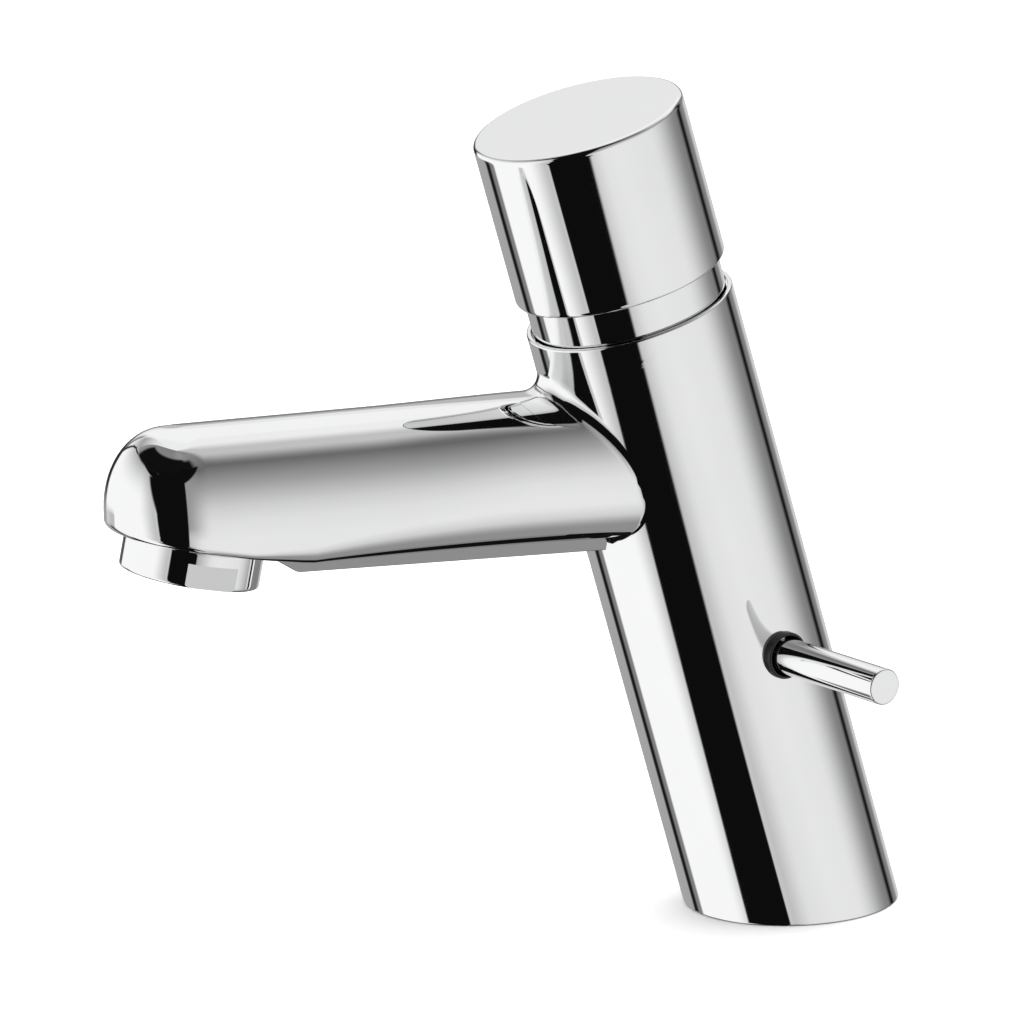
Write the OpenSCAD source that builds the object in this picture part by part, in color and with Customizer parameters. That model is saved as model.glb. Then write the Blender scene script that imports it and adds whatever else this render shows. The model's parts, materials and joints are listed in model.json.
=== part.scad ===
// Deck-mounted self-closing mixer tap: leaning body with cast spout, push cap and side temperature lever.
// Millimetres. The origin is the centre of the base on the deck, +Z is up and the spout points to -Y.
// The axis is the leaning axis of the body, and an axis height is measured along it from the deck.

/* [Body] */
// Diameter of the leaning body
body_d = 42; // [41:0.5:46]
// Lean of the body axis towards the spout, degrees
lean = 15; // [12:0.5:17]
// Length of the body axis from the deck to the rim
rim_s = 130; // [128:0.5:136]
// Roundness of the rim's bead
rim_round = 0.4; // [0.2:0.05:0.45]
// Wall of the body round the sleeve's recess
rim_wall = 0.95; // [0.9:0.05:1.5]
// Depth of the sleeve's recess below the rim
recess_h = 10; // [9:0.25:11]
// Wall of the body round the hose pocket
base_wall = 4.5; // [4.25:0.25:5]
// Axis height of the hose pocket's ceiling
pocket_s = 28; // [26:0.5:30]
// Distance of the gasket's groove from the body's side
gasket_edge = 1.7; // [1.4:0.1:2]
// Width of the groove for the base gasket
gasket_w = 1.8; // [1.2:0.1:2]
// Thickness of the base gasket
gasket_h = 1.4; // [1:0.1:2]

/* [Supply and fixing] */
// Diameter of the hose thread
inlet_d = 10; // [9:0.5:11]
// Depth of the hose thread
inlet_depth = 12; // [10:0.5:13]
// Distance of each hose from the middle plane
inlet_x = 7.5; // [7:0.25:8]
// Distance of the hoses in front of the body axis
inlet_front = 5; // [4:0.25:6]
// Diameter of the passage that holds the check valve
passage_d = 8; // [7:0.25:8.5]
// Length of the passage between the hose thread and the mixing chamber
passage_h = 8; // [7:0.25:9]
// Thickness of an inlet screen
screen_h = 0.8; // [0.6:0.1:1]
// Diameter of one hole of an inlet screen
screen_hole = 1.4; // [1:0.1:1.6]
// Wall of a check valve's case
check_wall = 1.2; // [1:0.1:1.4]
// Floor of a check valve's case
check_floor = 1.5; // [1:0.1:2]
// Diameter of the poppet's head inside the case
poppet_d = 3; // [2.4:0.1:3.4]
// Diameter of the port in the case's floor
check_port = 1.6; // [1.2:0.1:2]
// Diameter of the fixing stud's thread
stud_d = 8; // [6:1:8]
// Depth of the fixing stud's thread
stud_depth = 14; // [10:0.5:14]
// Distance of the fixing stud behind the base centre
stud_back = 4.5; // [4:0.25:5]
// Diameter of the stud's boss
stud_boss_d = 13; // [11.5:0.25:13]
// Height of the boss's end face above the deck
stud_boss_z = 14; // [12:0.5:16]

/* [Spout] */
// Distance of the outlet centre in front of the base centre
tip_d = 127; // [115:0.5:140]
// Height of the outlet face's centre above the deck
outlet_z = 89.2; // [86:0.2:91]
// Forward tilt of the outlet, degrees
outlet_tilt = 12; // [8:0.5:14]
// Width of the spout
spout_w = 32; // [30:0.5:33]
// Height of the spout's top above the outlet's centre
tip_h = 21.4; // [19:0.2:23]
// Rise of the spout's top towards the tip, degrees
top_rise = 1.6; // [0:0.1:3]
// Drop of the arm's underside below the outlet's centre, where it is carried on to there
arm_drop = 3; // [2.2:0.1:4]
// Rise of the arm's underside towards the tip, degrees
bottom_rise = 3; // [1.5:0.1:3.5]
// Roundness of the spout's upper edges
top_round = 10.5; // [8:0.25:11]
// Roundness of the arm's lower edges
arm_round = 8; // [6:0.25:9]
// Roundness of the outlet face's edge
tip_round = 1.5; // [0.8:0.1:2]
// Length over which the lower edges sharpen towards the outlet
edge_ease = 20; // [16:0.5:24]
// Length of the sharp lower edges behind the outlet's centre
edge_lead = 7; // [5:0.5:10]
// Fillet between the spout and the body
root_fillet = 3.2; // [2:0.1:3.3]
// Width of the rib under the arm
rib_w = 13; // [10:0.5:15]
// Depth of the rib at the body
rib_root = 2.9; // [2:0.1:3.5]
// Depth of the rib at its front end
rib_front = 2.3; // [1.5:0.1:3]
// Length of the rib's front ramp
rib_ramp = 6.5; // [4:0.25:8]
// Distance from the rib's front end to the outlet's centre
rib_stop = 20; // [18:0.5:24]
// Diameter of the waterway in the spout
waterway_d = 11; // [9:0.5:12]

/* [Outlet] */
// Diameter of the outlet thread
outlet_thread_d = 24; // [23.5:0.1:24.5]
// Depth of the outlet socket
socket_depth = 10; // [9.5:0.1:11]
// Width of the aerator's shoulder round the outlet thread
aerator_shoulder = 1.45; // [1.2:0.05:1.8]
// Height of the aerator's housing below the spout
aerator_h = 6.8; // [6:0.1:8]
// Depth of each spanner flat
flat_cut = 1.05; // [0.8:0.05:1.2]
// Height of the spanner flats
flats_h = 4.4; // [3.5:0.1:5]
// Chamfer of the housing's lower edge
aerator_chamfer = 0.7; // [0.4:0.1:1]
// Wall of the housing's threaded spigot
spigot_wall = 1.6; // [1.4:0.1:1.8]
// Width of the lip that holds the core
lip_w = 1; // [0.8:0.1:1.2]
// Thickness of the lip that holds the core
lip_h = 1.4; // [1:0.1:1.8]
// Wall of the aerator's core
core_wall = 1.2; // [1:0.1:1.4]
// Depth of the core's cells
cell_h = 4; // [3:0.25:5]
// Width across flats of one cell of the core
cell_w = 2.2; // [1.8:0.1:2.4]
// Wall between two cells
cell_wall = 0.6; // [0.5:0.05:0.7]
// Thickness of the screen above the core
mesh_h = 0.8; // [0.6:0.1:1]
// Diameter of one hole of the screen
mesh_hole = 2; // [1.4:0.1:2.4]
// Distance between the holes of the screen
mesh_pitch = 3.2; // [2.8:0.1:3.3]
// Thickness of the outlet's gasket
outlet_gasket_h = 2; // [1.6:0.1:2.4]
// Width of the outlet's gasket
outlet_gasket_w = 3; // [2:0.1:3.4]

/* [Push cap] */
// Distance that the push cap stands out beyond the body's side
cap_proud = 0.3; // [0.1:0.05:2]
// Height of the push cap
cap_h = 33.7; // [32:0.1:38]
// Gap between the rim and the cap at rest
cap_gap = 7; // [6.5:0.1:8]
// Travel of the push cap
cap_stroke = 5.5; // [4:0.1:5.8]
// Wall of the push cap
cap_wall = 1.2; // [1:0.05:1.3]
// Thickness of the cap's top
cap_top = 2.5; // [2:0.1:3]
// Roundness of the cap's upper edge
cap_round = 1; // [0.5:0.1:1.1]
// Roundness of the cap's lower edge
cap_lip = 0.5; // [0.2:0.05:0.55]
// Thickness of the insert pressed into the cap
insert_h = 5; // [4:0.1:6]
// Diameter of the insert's boss
insert_boss_d = 12; // [11:0.5:14]
// Length of the insert's boss
insert_boss_h = 8; // [6:0.5:9]
// Insert left above the spindle's end
spindle_roof = 1.5; // [1:0.1:2]
// Gap between the insert and the sleeve at the end of the travel
stop_gap = 1; // [0.6:0.1:1.5]

/* [Guide sleeve] */
// Radial gap between the cap's bore and the sleeve
sleeve_gap = 0.4; // [0.35:0.05:0.5]
// Wall of the sleeve
sleeve_wall = 2.4; // [2:0.1:3]
// Width of the groove between the rim and the sleeve
rim_groove = 0.45; // [0.35:0.05:0.6]
// Length of the sleeve's threaded foot
sleeve_foot = 3.5; // [3:0.1:4]
// Height of the guide ring on the sleeve
guide_h = 4; // [3:0.25:5]
// Depth of the guide ring's groove
guide_depth = 0.6; // [0.5:0.05:0.8]
// Distance of the guide ring below the sleeve's upper end
guide_down = 2; // [1.5:0.1:3]

/* [Timing cartridge] */
// Diameter of the cylinder inside the cartridge
cylinder_d = 27; // [26:0.25:27.5]
// Wall of the cartridge's case
case_wall = 2.9; // [2.8:0.05:3.2]
// Width of the ledge that carries the cartridge
ledge_w = 1; // [0.8:0.05:1.2]
// Height of the mixing chamber
chamber_h = 18; // [17.5:0.25:19]
// Thickness of the cartridge's floor
floor_h = 4; // [3:0.25:5]
// Diameter of the valve seat
seat_d = 11; // [10:0.25:11.5]
// Diameter of each outlet window's channel
window_d = 10; // [8:0.25:10.5]
// Depth of the channel round the case at the windows
window_band = 1; // [0.6:0.1:1.4]
// Number of outlet windows
window_n = 4; // [3:1:4]
// Thickness of the cartridge head's flange
head_h = 4; // [3:0.25:4.5]
// Length of the head's spigot in the case
spigot_h = 3; // [2:0.25:4]
// Height of the spindle seal above the flange
seal_up = 4; // [3:0.25:5]
// Length of the head's boss above the spindle seal
boss_over = 4; // [3:0.25:5]
// Gap between the head's boss and the return spring
boss_gap = 0.75; // [0.5:0.05:1]
// Diameter of the spindle
spindle_d = 7; // [6:0.25:7.5]
// Lap of the main valve beyond its seat
valve_lap = 1.7; // [1.4:0.1:1.9]
// Thickness of the main valve's disc
valve_h = 4; // [3:0.25:5]
// Thickness of the valve washer
washer_h = 1.9; // [1.5:0.1:2.2]
// Distance of the washer's edge inside the valve's edge
washer_edge = 0.2; // [0.1:0.05:0.4]
// Gap between the timing piston and the head at rest
piston_gap = 4; // [3:0.25:5]
// Thickness of the timing piston
piston_h = 5; // [4.5:0.25:5.5]
// Thickness of the piston's flanges beside its seal
piston_lip = 1.2; // [1:0.1:1.4]
// Width of the piston's seal
piston_seal_w = 2.5; // [2:0.1:3]
// Cord diameter of the O-rings
cord_d = 1.8; // [1.5:0.1:2]
// Distance of the lower O-ring above the ledge
lower_cord_up = 8; // [6:0.25:10]
// Distance of the upper O-ring below the flange
upper_cord_down = 6; // [5:0.25:8]

/* [Return spring] */
// Mean diameter of the return spring
spring_d = 22; // [21:0.25:24]
// Wire of the return spring
wire_d = 1.8; // [1.4:0.1:2]
// Number of turns of the return spring
spring_turns = 8; // [6:1:9]

/* [Temperature lever] */
// Diameter of the lever
lever_d = 7.3; // [6.8:0.05:7.4]
// Length of the lever outside the body
lever_out = 32; // [26:0.5:40]
// Chamfer of the lever's end
lever_chamfer = 0.3; // [0.2:0.05:0.6]
// Height of the lever's line above the mixing chamber's floor, on the axis
lever_up = 10.5; // [10:0.25:11]
// Angle of the lever behind the tap's right side, degrees
lever_back = 13; // [5:0.5:18]
// Swing of the lever to each side, degrees
lever_swing = 15; // [8:0.5:15]
// Wall of the lever's bush at its waist
bush_wall = 0.77; // [0.7:0.01:0.9]
// Length of the bush
bush_h = 2.4; // [2:0.1:2.5]
// Height of the bush above the body
bush_proud = 1.5; // [1.2:0.1:1.6]
// Roundness of the bush's outer edge
bush_round = 0.54; // [0.3:0.02:0.6]
// Curve of the waist that the lever rocks on in the bush
waist_round = 2.6; // [2.4:0.1:2.8]
// Diameter of the pivot pin
pivot_d = 2; // [1.6:0.1:2.2]
// Length of the lever's full diameter inside the body's side
tail_in = 3; // [2.6:0.1:3]
// Length of the cone between the lever and its tail
tail_cone = 1.5; // [1:0.1:2]
// Diameter of the lever's tail
tail_d = 3.4; // [3:0.1:3.6]
// Diameter of the ball that turns the mixing collar
ball_d = 5.6; // [5:0.1:5.8]
// Gap between the ball and the main valve
ball_gap = 0.85; // [0.7:0.05:1]
// Wall of the mixing collar
collar_wall = 2.7; // [2.2:0.1:3]
// Thickness of the mixing collar's disc
collar_disc = 3; // [2.5:0.1:3.2]
// Distance of the collar's end below the cartridge
collar_drop = 1.5; // [1:0.1:2]
// Turn of the collar's ports past the passages at mid swing, degrees
port_turn = 12; // [8:0.5:14]
// Distance of the ports' edge inside the passages' edge
port_edge = 1; // [0.8:0.1:1.4]

/* [Clearances] */
// Radial clearance of a running fit
run_gap = 0.06; // [0.03:0.01:0.09]
// Radial clearance of pieces that are fitted together
seat_gap = 0.03; // [0.02:0.01:0.05]
// Gap between faces that move past each other
free_gap = 0.3; // [0.2:0.05:0.4]
// Clearance of threads, loose cases and faces that lie on each other
face_gap = 0.1; // [0.05:0.01:0.12]
// Clearance at the ends of pieces in a passage or groove
end_gap = 0.2; // [0.15:0.01:0.25]

/* [Hidden] */
$fn = 64;
// Larger than the tap, deeper than the slant of its base, and the overrun of a cut or a joined shape
far = 400;
deep = 12;
over = 1;

body_r = body_d / 2;
recess_d = body_d - 2 * rim_wall;
pocket_d = body_d - 2 * base_wall;
groove_d = body_d - 2 * gasket_edge;

// Axis heights, from the deck up to the cap's top
inlet_s = pocket_s + inlet_depth;
chamber_s = inlet_s + passage_h;
lever_s = chamber_s + lever_up;
ledge_s = chamber_s + chamber_h;
head_s = rim_s - recess_h;
sleeve_s = head_s + head_h;
cap_s = rim_s + cap_gap;
cap_end = cap_s + cap_h;
insert_end = cap_end - cap_top;
insert_s = insert_end - insert_h;
sleeve_end = insert_s - cap_stroke - stop_gap;
guide_s = sleeve_end - guide_down - guide_h;

// Diameters and heights of the cartridge
cartridge_d = cylinder_d + 2 * case_wall + 2 * face_gap;
case_d = cartridge_d - 2 * face_gap;
chamber_d = cartridge_d - 2 * ledge_w;
valve_d = seat_d + 2 * valve_lap;
valve_s = ledge_s - face_gap - washer_h - valve_h;
piston_s = head_s - spigot_h - piston_gap - piston_h;
piston_core_d = cylinder_d - 2 * piston_seal_w;
cord_r = cord_d / 2;
cord_groove_d = cartridge_d - 2 * (cord_d + seat_gap + face_gap);
lower_cord_s = ledge_s + lower_cord_up;
upper_cord_s = head_s - upper_cord_down;
seal_s = sleeve_s + seal_up;
head_end = seal_s + boss_over;
spindle_end = insert_end - spindle_roof;

// Diameters of the cap and its sleeve: a neck under the cap and a throat in the body's recess
cap_d = body_d + 2 * cap_proud;
cap_bore = cap_d - 2 * cap_wall;
neck_d = cap_bore - 2 * sleeve_gap;
throat_d = recess_d - 2 * rim_groove;
sleeve_bore = min(neck_d, throat_d) - 2 * sleeve_wall;
guide_bore = neck_d - 2 * guide_depth;

// The lever lies level although the body leans
lever_droop = atan(sin(lever_back) * tan(lean));
lever_end = body_r + lever_out;
tail_end = body_r - tail_in;
pivot_r = body_r + bush_proud - bush_h / 2;
waist_r = lever_d / 2 / cos(lever_swing) + waist_round * pow(tan(lever_swing), 2) / 2 + run_gap;
bush_d = 2 * (waist_r + bush_wall);
ball_r = valve_d / 2 + ball_gap + ball_d / 2;
collar_s = chamber_s + free_gap / 2;
collar_end = ledge_s - collar_drop;

// Diameters and heights of the aerator, in the outlet's frame
aerator_d = outlet_thread_d + 2 * aerator_shoulder;
flats_w = aerator_d - 2 * flat_cut;
spigot_d = outlet_thread_d - 2 * face_gap;
aerator_bore = spigot_d - 2 * spigot_wall;
core_d = aerator_bore - 2 * seat_gap;
gasket_top = socket_depth - face_gap;
gasket_low = gasket_top - outlet_gasket_h;
spigot_end = gasket_low - face_gap;
mesh_low = spigot_end - face_gap - mesh_h;
core_low = -aerator_h + lip_h;
core_high = mesh_low - face_gap;

// The body's own frame: Z along the leaning axis, -Y to the front
module leaned() {
    rotate([lean, 0, 0]) children();
}

// The lever's frame: X out along the lever from the body axis
module lever_frame() {
    leaned() translate([0, 0, lever_s]) rotate([0, 0, lever_back]) rotate([0, lever_droop, 0]) children();
}

// The outlet's frame: Z up through the outlet face's centre, square to the face
module outlet_frame() {
    translate([0, -tip_d, outlet_z]) rotate([-outlet_tilt, 0, 0]) children();
}

// A round bar between two heights on the current Z axis
module bar(d, from, to) {
    translate([0, 0, from]) cylinder(d = d, h = to - from);
}

// A ring between two heights on the current Z axis
module ring(outer, inner, from, to) {
    wall = (outer - inner) / 2;
    translate([0, 0, from]) rotate_extrude() translate([inner / 2, 0]) square([wall, to - from]);
}

// A round cord lying in a circle at one height
module cord_ring(centre_r, at) {
    translate([0, 0, at]) rotate_extrude() translate([centre_r, 0]) circle(r = cord_r, $fn = 32);
}

// A rectangle whose right-hand corners are rounded
module half_round_rect(w, h, low, high) {
    difference() {
        square([w, h]);
        if (low > 0) corner_cut(w, 0, low, 1);
        if (high > 0) corner_cut(w, h, high, -1);
    }
}

module corner_cut(x, y, r, side) {
    difference() {
        translate([x - r, side > 0 ? y - over : y - r]) square([r + over, r + over]);
        translate([x - r, y + side * r]) circle(r = r);
    }
}

// Spout outline at distance d in front of the base centre
function top_at(d) = outlet_z + tip_h + tan(top_rise) * (d - tip_d);
function arm_at(d) = outlet_z - arm_drop + tan(bottom_rise) * (d - tip_d);
function outlet_at(d) = outlet_z + tan(outlet_tilt) * (d - tip_d);
function bottom_at(d) = max(arm_at(d), outlet_at(d));
function ease(t) = t <= 0 ? 0 : t >= 1 ? 1 : t * t * (3 - 2 * t);
function low_round(d) = tip_round + (arm_round - tip_round) * ease((tip_d - edge_lead - d) / edge_ease);

// Distance of the body's front from the base centre at height z
function front_at(z) = (body_r + z * sin(lean)) / cos(lean);

// Each outline is four rounded corners, named by the angle of their outward direction
corner_steps = 9;
outline_angles = [for (q = [0:3], i = [0:corner_steps]) 90 * q + 90 * i / corner_steps];
function upper(j) = j < 2 * (corner_steps + 1);
function side(j) = j < corner_steps + 1 || j >= 3 * (corner_steps + 1) ? 1 : -1;
spout_half = spout_w / 2;

// One outline square across the arm
function arm_ring(d) = [for (j = [0:len(outline_angles) - 1])
    let (a = outline_angles[j], r = upper(j) ? top_round : low_round(d))
    [side(j) * (spout_half - r) + r * cos(a), -d,
     (upper(j) ? top_at(d) - r : bottom_at(d) + r) + r * sin(a)]];

// One outline of the fillet: grown by "grow", on a cylinder "off" outside the leaning body
function root_ring(grow, off) = [for (j = [0:len(outline_angles) - 1])
    let (a = outline_angles[j], up = upper(j), r = up ? top_round : arm_round,
         slope = tan(up ? top_rise : bottom_rise),
         x = side(j) * (spout_half - r) + (r + grow) * cos(a),
         level = (up ? top_at(0) - r : arm_at(0) + r) + (r + grow) * sin(a),
         reach = sqrt(pow(body_r + off, 2) - x * x),
         d = (reach + level * sin(lean)) / (cos(lean) - slope * sin(lean)))
    [x, -d, level + slope * d]];

// One meridian pair of the rounded tip, turned by "turn" from the sides to the front
function tip_ring(turn) = [for (j = [0:len(outline_angles) - 1])
    let (a = outline_angles[j], up = upper(j), r = up ? top_round : tip_round,
         reach = spout_half - r + r * abs(cos(a)), d = tip_d + reach * sin(turn))
    [side(j) * reach * cos(turn), -d, (up ? top_at(d) - r : outlet_at(d) + r) + r * sin(a)]];

// The fillet is kept on the body's side where the spout is nearly as wide as the body
fillet_share = 0.68;
blend = min(root_fillet, fillet_share * (body_r - spout_half));
// Steps of the fillet from the body to the arm, after a short run that dives under the body's surface
blend_angles = [76, 60, 44, 28, 14, 0];
dive_run = blend / 2;
dive_depth = free_gap;
// The outlines start on the body axis, a little narrower than the arm
root_d = top_at(tip_d) * tan(lean);
root_share = 0.9;
arm_start = front_at(top_at(tip_d)) + blend;
ease_start = tip_d - edge_lead - edge_ease;
ease_steps = 5;
tip_steps = 7;
arm_stations = concat(
    [for (i = [1:3]) arm_start + (ease_start - arm_start) * i / 3],
    [for (i = [1:ease_steps]) ease_start + edge_ease * i / ease_steps],
    [tip_d]);
spout_rings = concat(
    [[for (p = arm_ring(root_d)) [p.x * root_share, p.y, p.z]]],
    [root_ring(blend * (1 - cos(blend_angles[0])) + dive_run, -dive_depth)],
    [for (b = blend_angles) root_ring(blend * (1 - cos(b)), blend * (1 - sin(b)))],
    [for (d = arm_stations) arm_ring(d)],
    [for (i = [1:tip_steps]) tip_ring(90 * i / tip_steps)]);
ring_n = len(outline_angles);
last_ring = len(spout_rings) - 1;

// Points of the last outline lie in the middle plane, so its left half is its right half
function mirrored(j) =
    let (q = floor(j / (corner_steps + 1)), i = j % (corner_steps + 1))
    q == 1 ? corner_steps - i : q == 2 ? 3 * (corner_steps + 1) + corner_steps - i : j;
function at(k, j) = k * ring_n + (k == last_ring ? mirrored(j % ring_n) : j % ring_n);
function whole(f) = f[0] != f[1] && f[1] != f[2] && f[2] != f[0];

module spout_skin() {
    points = [for (r = spout_rings) each r];
    walls = [for (k = [0:last_ring - 1], j = [0:ring_n - 1])
        each [[at(k, j), at(k + 1, j), at(k, j + 1)], [at(k, j + 1), at(k + 1, j), at(k + 1, j + 1)]]];
    root_face = [[for (j = [0:ring_n - 1]) j]];
    polyhedron(points, concat([for (f = walls) if (whole(f)) f], root_face), convexity = 6);
}

// The rib under the arm, from inside the body's wall to its ramp behind the outlet
module spout_rib() {
    front = tip_d - rib_stop;
    ramp = front + rib_ramp;
    back = front_at(arm_at(0)) - base_wall;
    sunk = rib_root + over;
    rotate([90, 0, 90]) translate([0, 0, -rib_w / 2]) linear_extrude(rib_w)
        polygon([[-back, arm_at(back) - rib_root], [-back, arm_at(back) + sunk],
                 [-ramp, arm_at(front) + sunk], [-ramp, outlet_at(ramp)],
                 [-front, arm_at(front) - rib_front]]);
}

// The leaning tube, square at the rim and level at the deck
module body_tube() {
    difference() {
        leaned() translate([0, 0, -deep]) rotate_extrude()
            half_round_rect(body_r, rim_s + deep, 0, rim_round);
        translate([-far / 2, -far / 2, -far]) cube(far);
    }
}

module supply_bores() {
    for (x = [-inlet_x, inlet_x]) leaned() translate([x, -inlet_front, 0]) {
        bar(inlet_d, pocket_s - over, inlet_s);
        bar(passage_d, inlet_s - over, chamber_s + over);
    }
}

module gasket_groove(gap) {
    below = gap > 0 ? over : 0;
    intersection() {
        leaned() ring(groove_d + gap, groove_d - 2 * gasket_w - gap, -deep, deep);
        translate([-far / 2, -far / 2, -below]) cube([far, far, gasket_h + below]);
    }
}

// The water's way from the cartridge's windows to the outlet socket, through the middle of the spout
window_s = (top_at(root_d) + arm_at(root_d)) / 2 / cos(lean);

module waterway() {
    start = window_s * sin(lean);
    translate([0, -start, window_s * cos(lean)]) rotate([90 - bottom_rise, 0, 0])
        bar(waterway_d, 0, tip_d - start);
}

// The stud's boss stands square to the deck and runs into the pocket's slanted ceiling
stud_boss_end = (pocket_s + (stud_back + stud_boss_d / 2) * sin(lean)) / cos(lean) + over;

module body() {
    color("silver") difference() {
        union() {
            difference() {
                union() {
                    body_tube();
                    spout_skin();
                    spout_rib();
                }
                leaned() {
                    bar(pocket_d, -deep - over, pocket_s);
                    bar(chamber_d, chamber_s, ledge_s + over);
                    bar(cartridge_d, ledge_s, head_s + over);
                    bar(recess_d, head_s, rim_s + deep);
                }
                supply_bores();
                gasket_groove(2 * seat_gap);
                lever_frame() rotate([0, 90, 0]) bar(bush_d + 2 * seat_gap, ball_r, body_r + deep);
                waterway();
                outlet_frame() bar(outlet_thread_d, -deep, socket_depth);
            }
            translate([0, stud_back, 0]) bar(stud_boss_d, stud_boss_z, stud_boss_end);
        }
        translate([0, stud_back, 0]) bar(stud_d, 0, stud_boss_z + stud_depth);
    }
}

module base_gasket() {
    color("dimgray") gasket_groove(0);
}

// A perforated disc in the mouth of each passage: one hole in the middle and six round it
module inlet_screens() {
    low = inlet_s + end_gap;
    color("gainsboro") for (x = [-inlet_x, inlet_x]) leaned() translate([x, -inlet_front, 0])
        difference() {
            bar(passage_d - 2 * seat_gap, low, low + screen_h);
            bar(screen_hole, low - over, low + screen_h + over);
            for (i = [0:5]) rotate([0, 0, 60 * i]) translate([passage_d / 4, 0, 0])
                bar(screen_hole, low - over, low + screen_h + over);
        }
}

// A check valve: a ported case with a poppet's head inside its mouth
module check_valve(x) {
    low = inlet_s + screen_h + 2 * end_gap;
    leaned() translate([x, -inlet_front, 0]) difference() {
        bar(passage_d - 2 * seat_gap, low, chamber_s - end_gap);
        ring(passage_d - 2 * check_wall, poppet_d, low + check_floor, chamber_s);
        bar(check_port, low - over, low + check_floor);
    }
}

module check_valve_hot() {
    color("indianred") check_valve(-inlet_x);
}

module check_valve_cold() {
    color("steelblue") check_valve(inlet_x);
}

// The turning collar: a ported disc with a slotted wall that the lever's ball turns
module mixing_collar() {
    port_r = norm([inlet_x, inlet_front]) - port_edge;
    inlet_turn = atan2(-inlet_front, inlet_x);
    slot_w = ball_d + free_gap;
    color("ivory") leaned() difference() {
        union() {
            bar(chamber_d - 2 * run_gap, collar_s, collar_s + collar_disc);
            bar(2 * ball_r + collar_wall, collar_s, collar_end);
        }
        bar(2 * ball_r - collar_wall, collar_s + collar_disc, collar_end + over);
        for (turn = [inlet_turn, 180 - inlet_turn]) rotate([0, 0, turn + port_turn])
            translate([port_r, 0, 0])
                bar(passage_d - 2 * port_edge, collar_s - over, collar_s + collar_disc + over);
        rotate([0, 0, lever_back]) translate([0, -slot_w / 2, lever_s - ball_d])
            cube([body_r, slot_w, chamber_h]);
    }
}

// The bush, its bore waisted so that the lever can rock on the pivot
module lever_bush() {
    color("#202224") lever_frame() difference() {
        translate([pivot_r, 0, 0]) rotate([0, 90, 0]) rotate_extrude() intersection() {
            translate([waist_r, -bush_h / 2]) half_round_rect(bush_wall, bush_h, 0, bush_round);
            translate([waist_r + waist_round, 0]) circle(r = waist_round);
        }
        pivot_hole(seat_gap, bush_d / 2 - end_gap);
    }
}

// The pivot stands along the body axis through the middle of the bush
module pivot_hole(gap, half) {
    translate([pivot_r, 0, 0]) rotate([0, -lever_droop, 0]) bar(pivot_d + 2 * gap, -half, half);
}

module lever_pivot() {
    color("gray") lever_frame() pivot_hole(0, bush_d / 2 - end_gap - seat_gap);
}

module lever() {
    tip = lever_end - lever_chamfer;
    cone = tail_end - tail_cone;
    color("silver") lever_frame() difference() {
        union() {
            rotate([0, 90, 0]) {
                bar(lever_d, tail_end, tip);
                translate([0, 0, tip])
                    cylinder(d1 = lever_d, d2 = lever_d - 2 * lever_chamfer, h = lever_chamfer);
                translate([0, 0, cone]) cylinder(d1 = tail_d, d2 = lever_d, h = tail_cone);
                bar(tail_d, ball_r, cone);
            }
            translate([ball_r, 0, 0]) sphere(d = ball_d);
        }
        pivot_hole(run_gap, lever_d);
    }
}

// The cartridge's case: floor with the valve seat, outlet windows and two O-ring grooves
module cartridge_housing() {
    groove_half = cord_r + end_gap;
    band_half = window_d / 2;
    color("ivory") leaned() difference() {
        bar(case_d, ledge_s, head_s);
        bar(cylinder_d, ledge_s + floor_h, head_s + over);
        bar(seat_d, ledge_s - over, ledge_s + floor_h + over);
        ring(case_d + over, case_d - 2 * window_band, window_s - band_half, window_s + band_half);
        for (i = [0:window_n - 1]) translate([0, 0, window_s]) rotate([90, 0, 360 / window_n * i])
            bar(window_d - window_band, 0, case_d);
        for (at = [lower_cord_s, upper_cord_s])
            ring(case_d + over, cord_groove_d, at - groove_half, at + groove_half);
    }
}

module lower_o_ring() {
    color("#202224") leaned() cord_ring(cartridge_d / 2 - cord_r - seat_gap, lower_cord_s);
}

module upper_o_ring() {
    color("#202224") leaned() cord_ring(cartridge_d / 2 - cord_r - seat_gap, upper_cord_s);
}

// The cartridge's head: flange under the sleeve, spigot in the case and a boss that guides the spindle
module cartridge_head() {
    groove_half = cord_r + end_gap;
    seal_groove_d = spindle_d + 2 * (cord_d + run_gap + face_gap);
    color("goldenrod") leaned() difference() {
        union() {
            bar(recess_d - 2 * face_gap, head_s, sleeve_s);
            bar(cylinder_d - 2 * seat_gap, head_s - spigot_h, head_s + over);
            bar(spring_d - wire_d - 2 * boss_gap, sleeve_s - over, head_end);
        }
        bar(spindle_d + 2 * run_gap, head_s - spigot_h - over, head_end + over);
        ring(seal_groove_d, spindle_d, seal_s - groove_half, seal_s + groove_half);
    }
}

module spindle_seal() {
    color("#202224") leaned() cord_ring(spindle_d / 2 + cord_r + run_gap, seal_s);
}

module spindle() {
    color("gray") leaned() bar(spindle_d, valve_s, spindle_end);
}

module main_valve() {
    color("goldenrod") leaned() difference() {
        bar(valve_d, valve_s, valve_s + valve_h);
        bar(spindle_d + 2 * seat_gap, valve_s - over, valve_s + valve_h + over);
    }
}

module valve_washer() {
    low = valve_s + valve_h;
    color("#202224") leaned()
        ring(valve_d - 2 * washer_edge, spindle_d + 2 * seat_gap, low, low + washer_h);
}

// The timing piston, grooved for its seal
module timing_piston() {
    piston_end = piston_s + piston_h;
    color("ivory") leaned() difference() {
        bar(cylinder_d - 2 * free_gap, piston_s, piston_end);
        bar(spindle_d + 2 * seat_gap, piston_s - over, piston_end + over);
        ring(cylinder_d, piston_core_d, piston_s + piston_lip, piston_end - piston_lip);
    }
}

module piston_seal() {
    side = piston_lip + seat_gap;
    color("#202224") leaned() ring(cylinder_d - 2 * run_gap, piston_core_d + 2 * seat_gap,
        piston_s + side, piston_s + piston_h - side);
}

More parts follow.
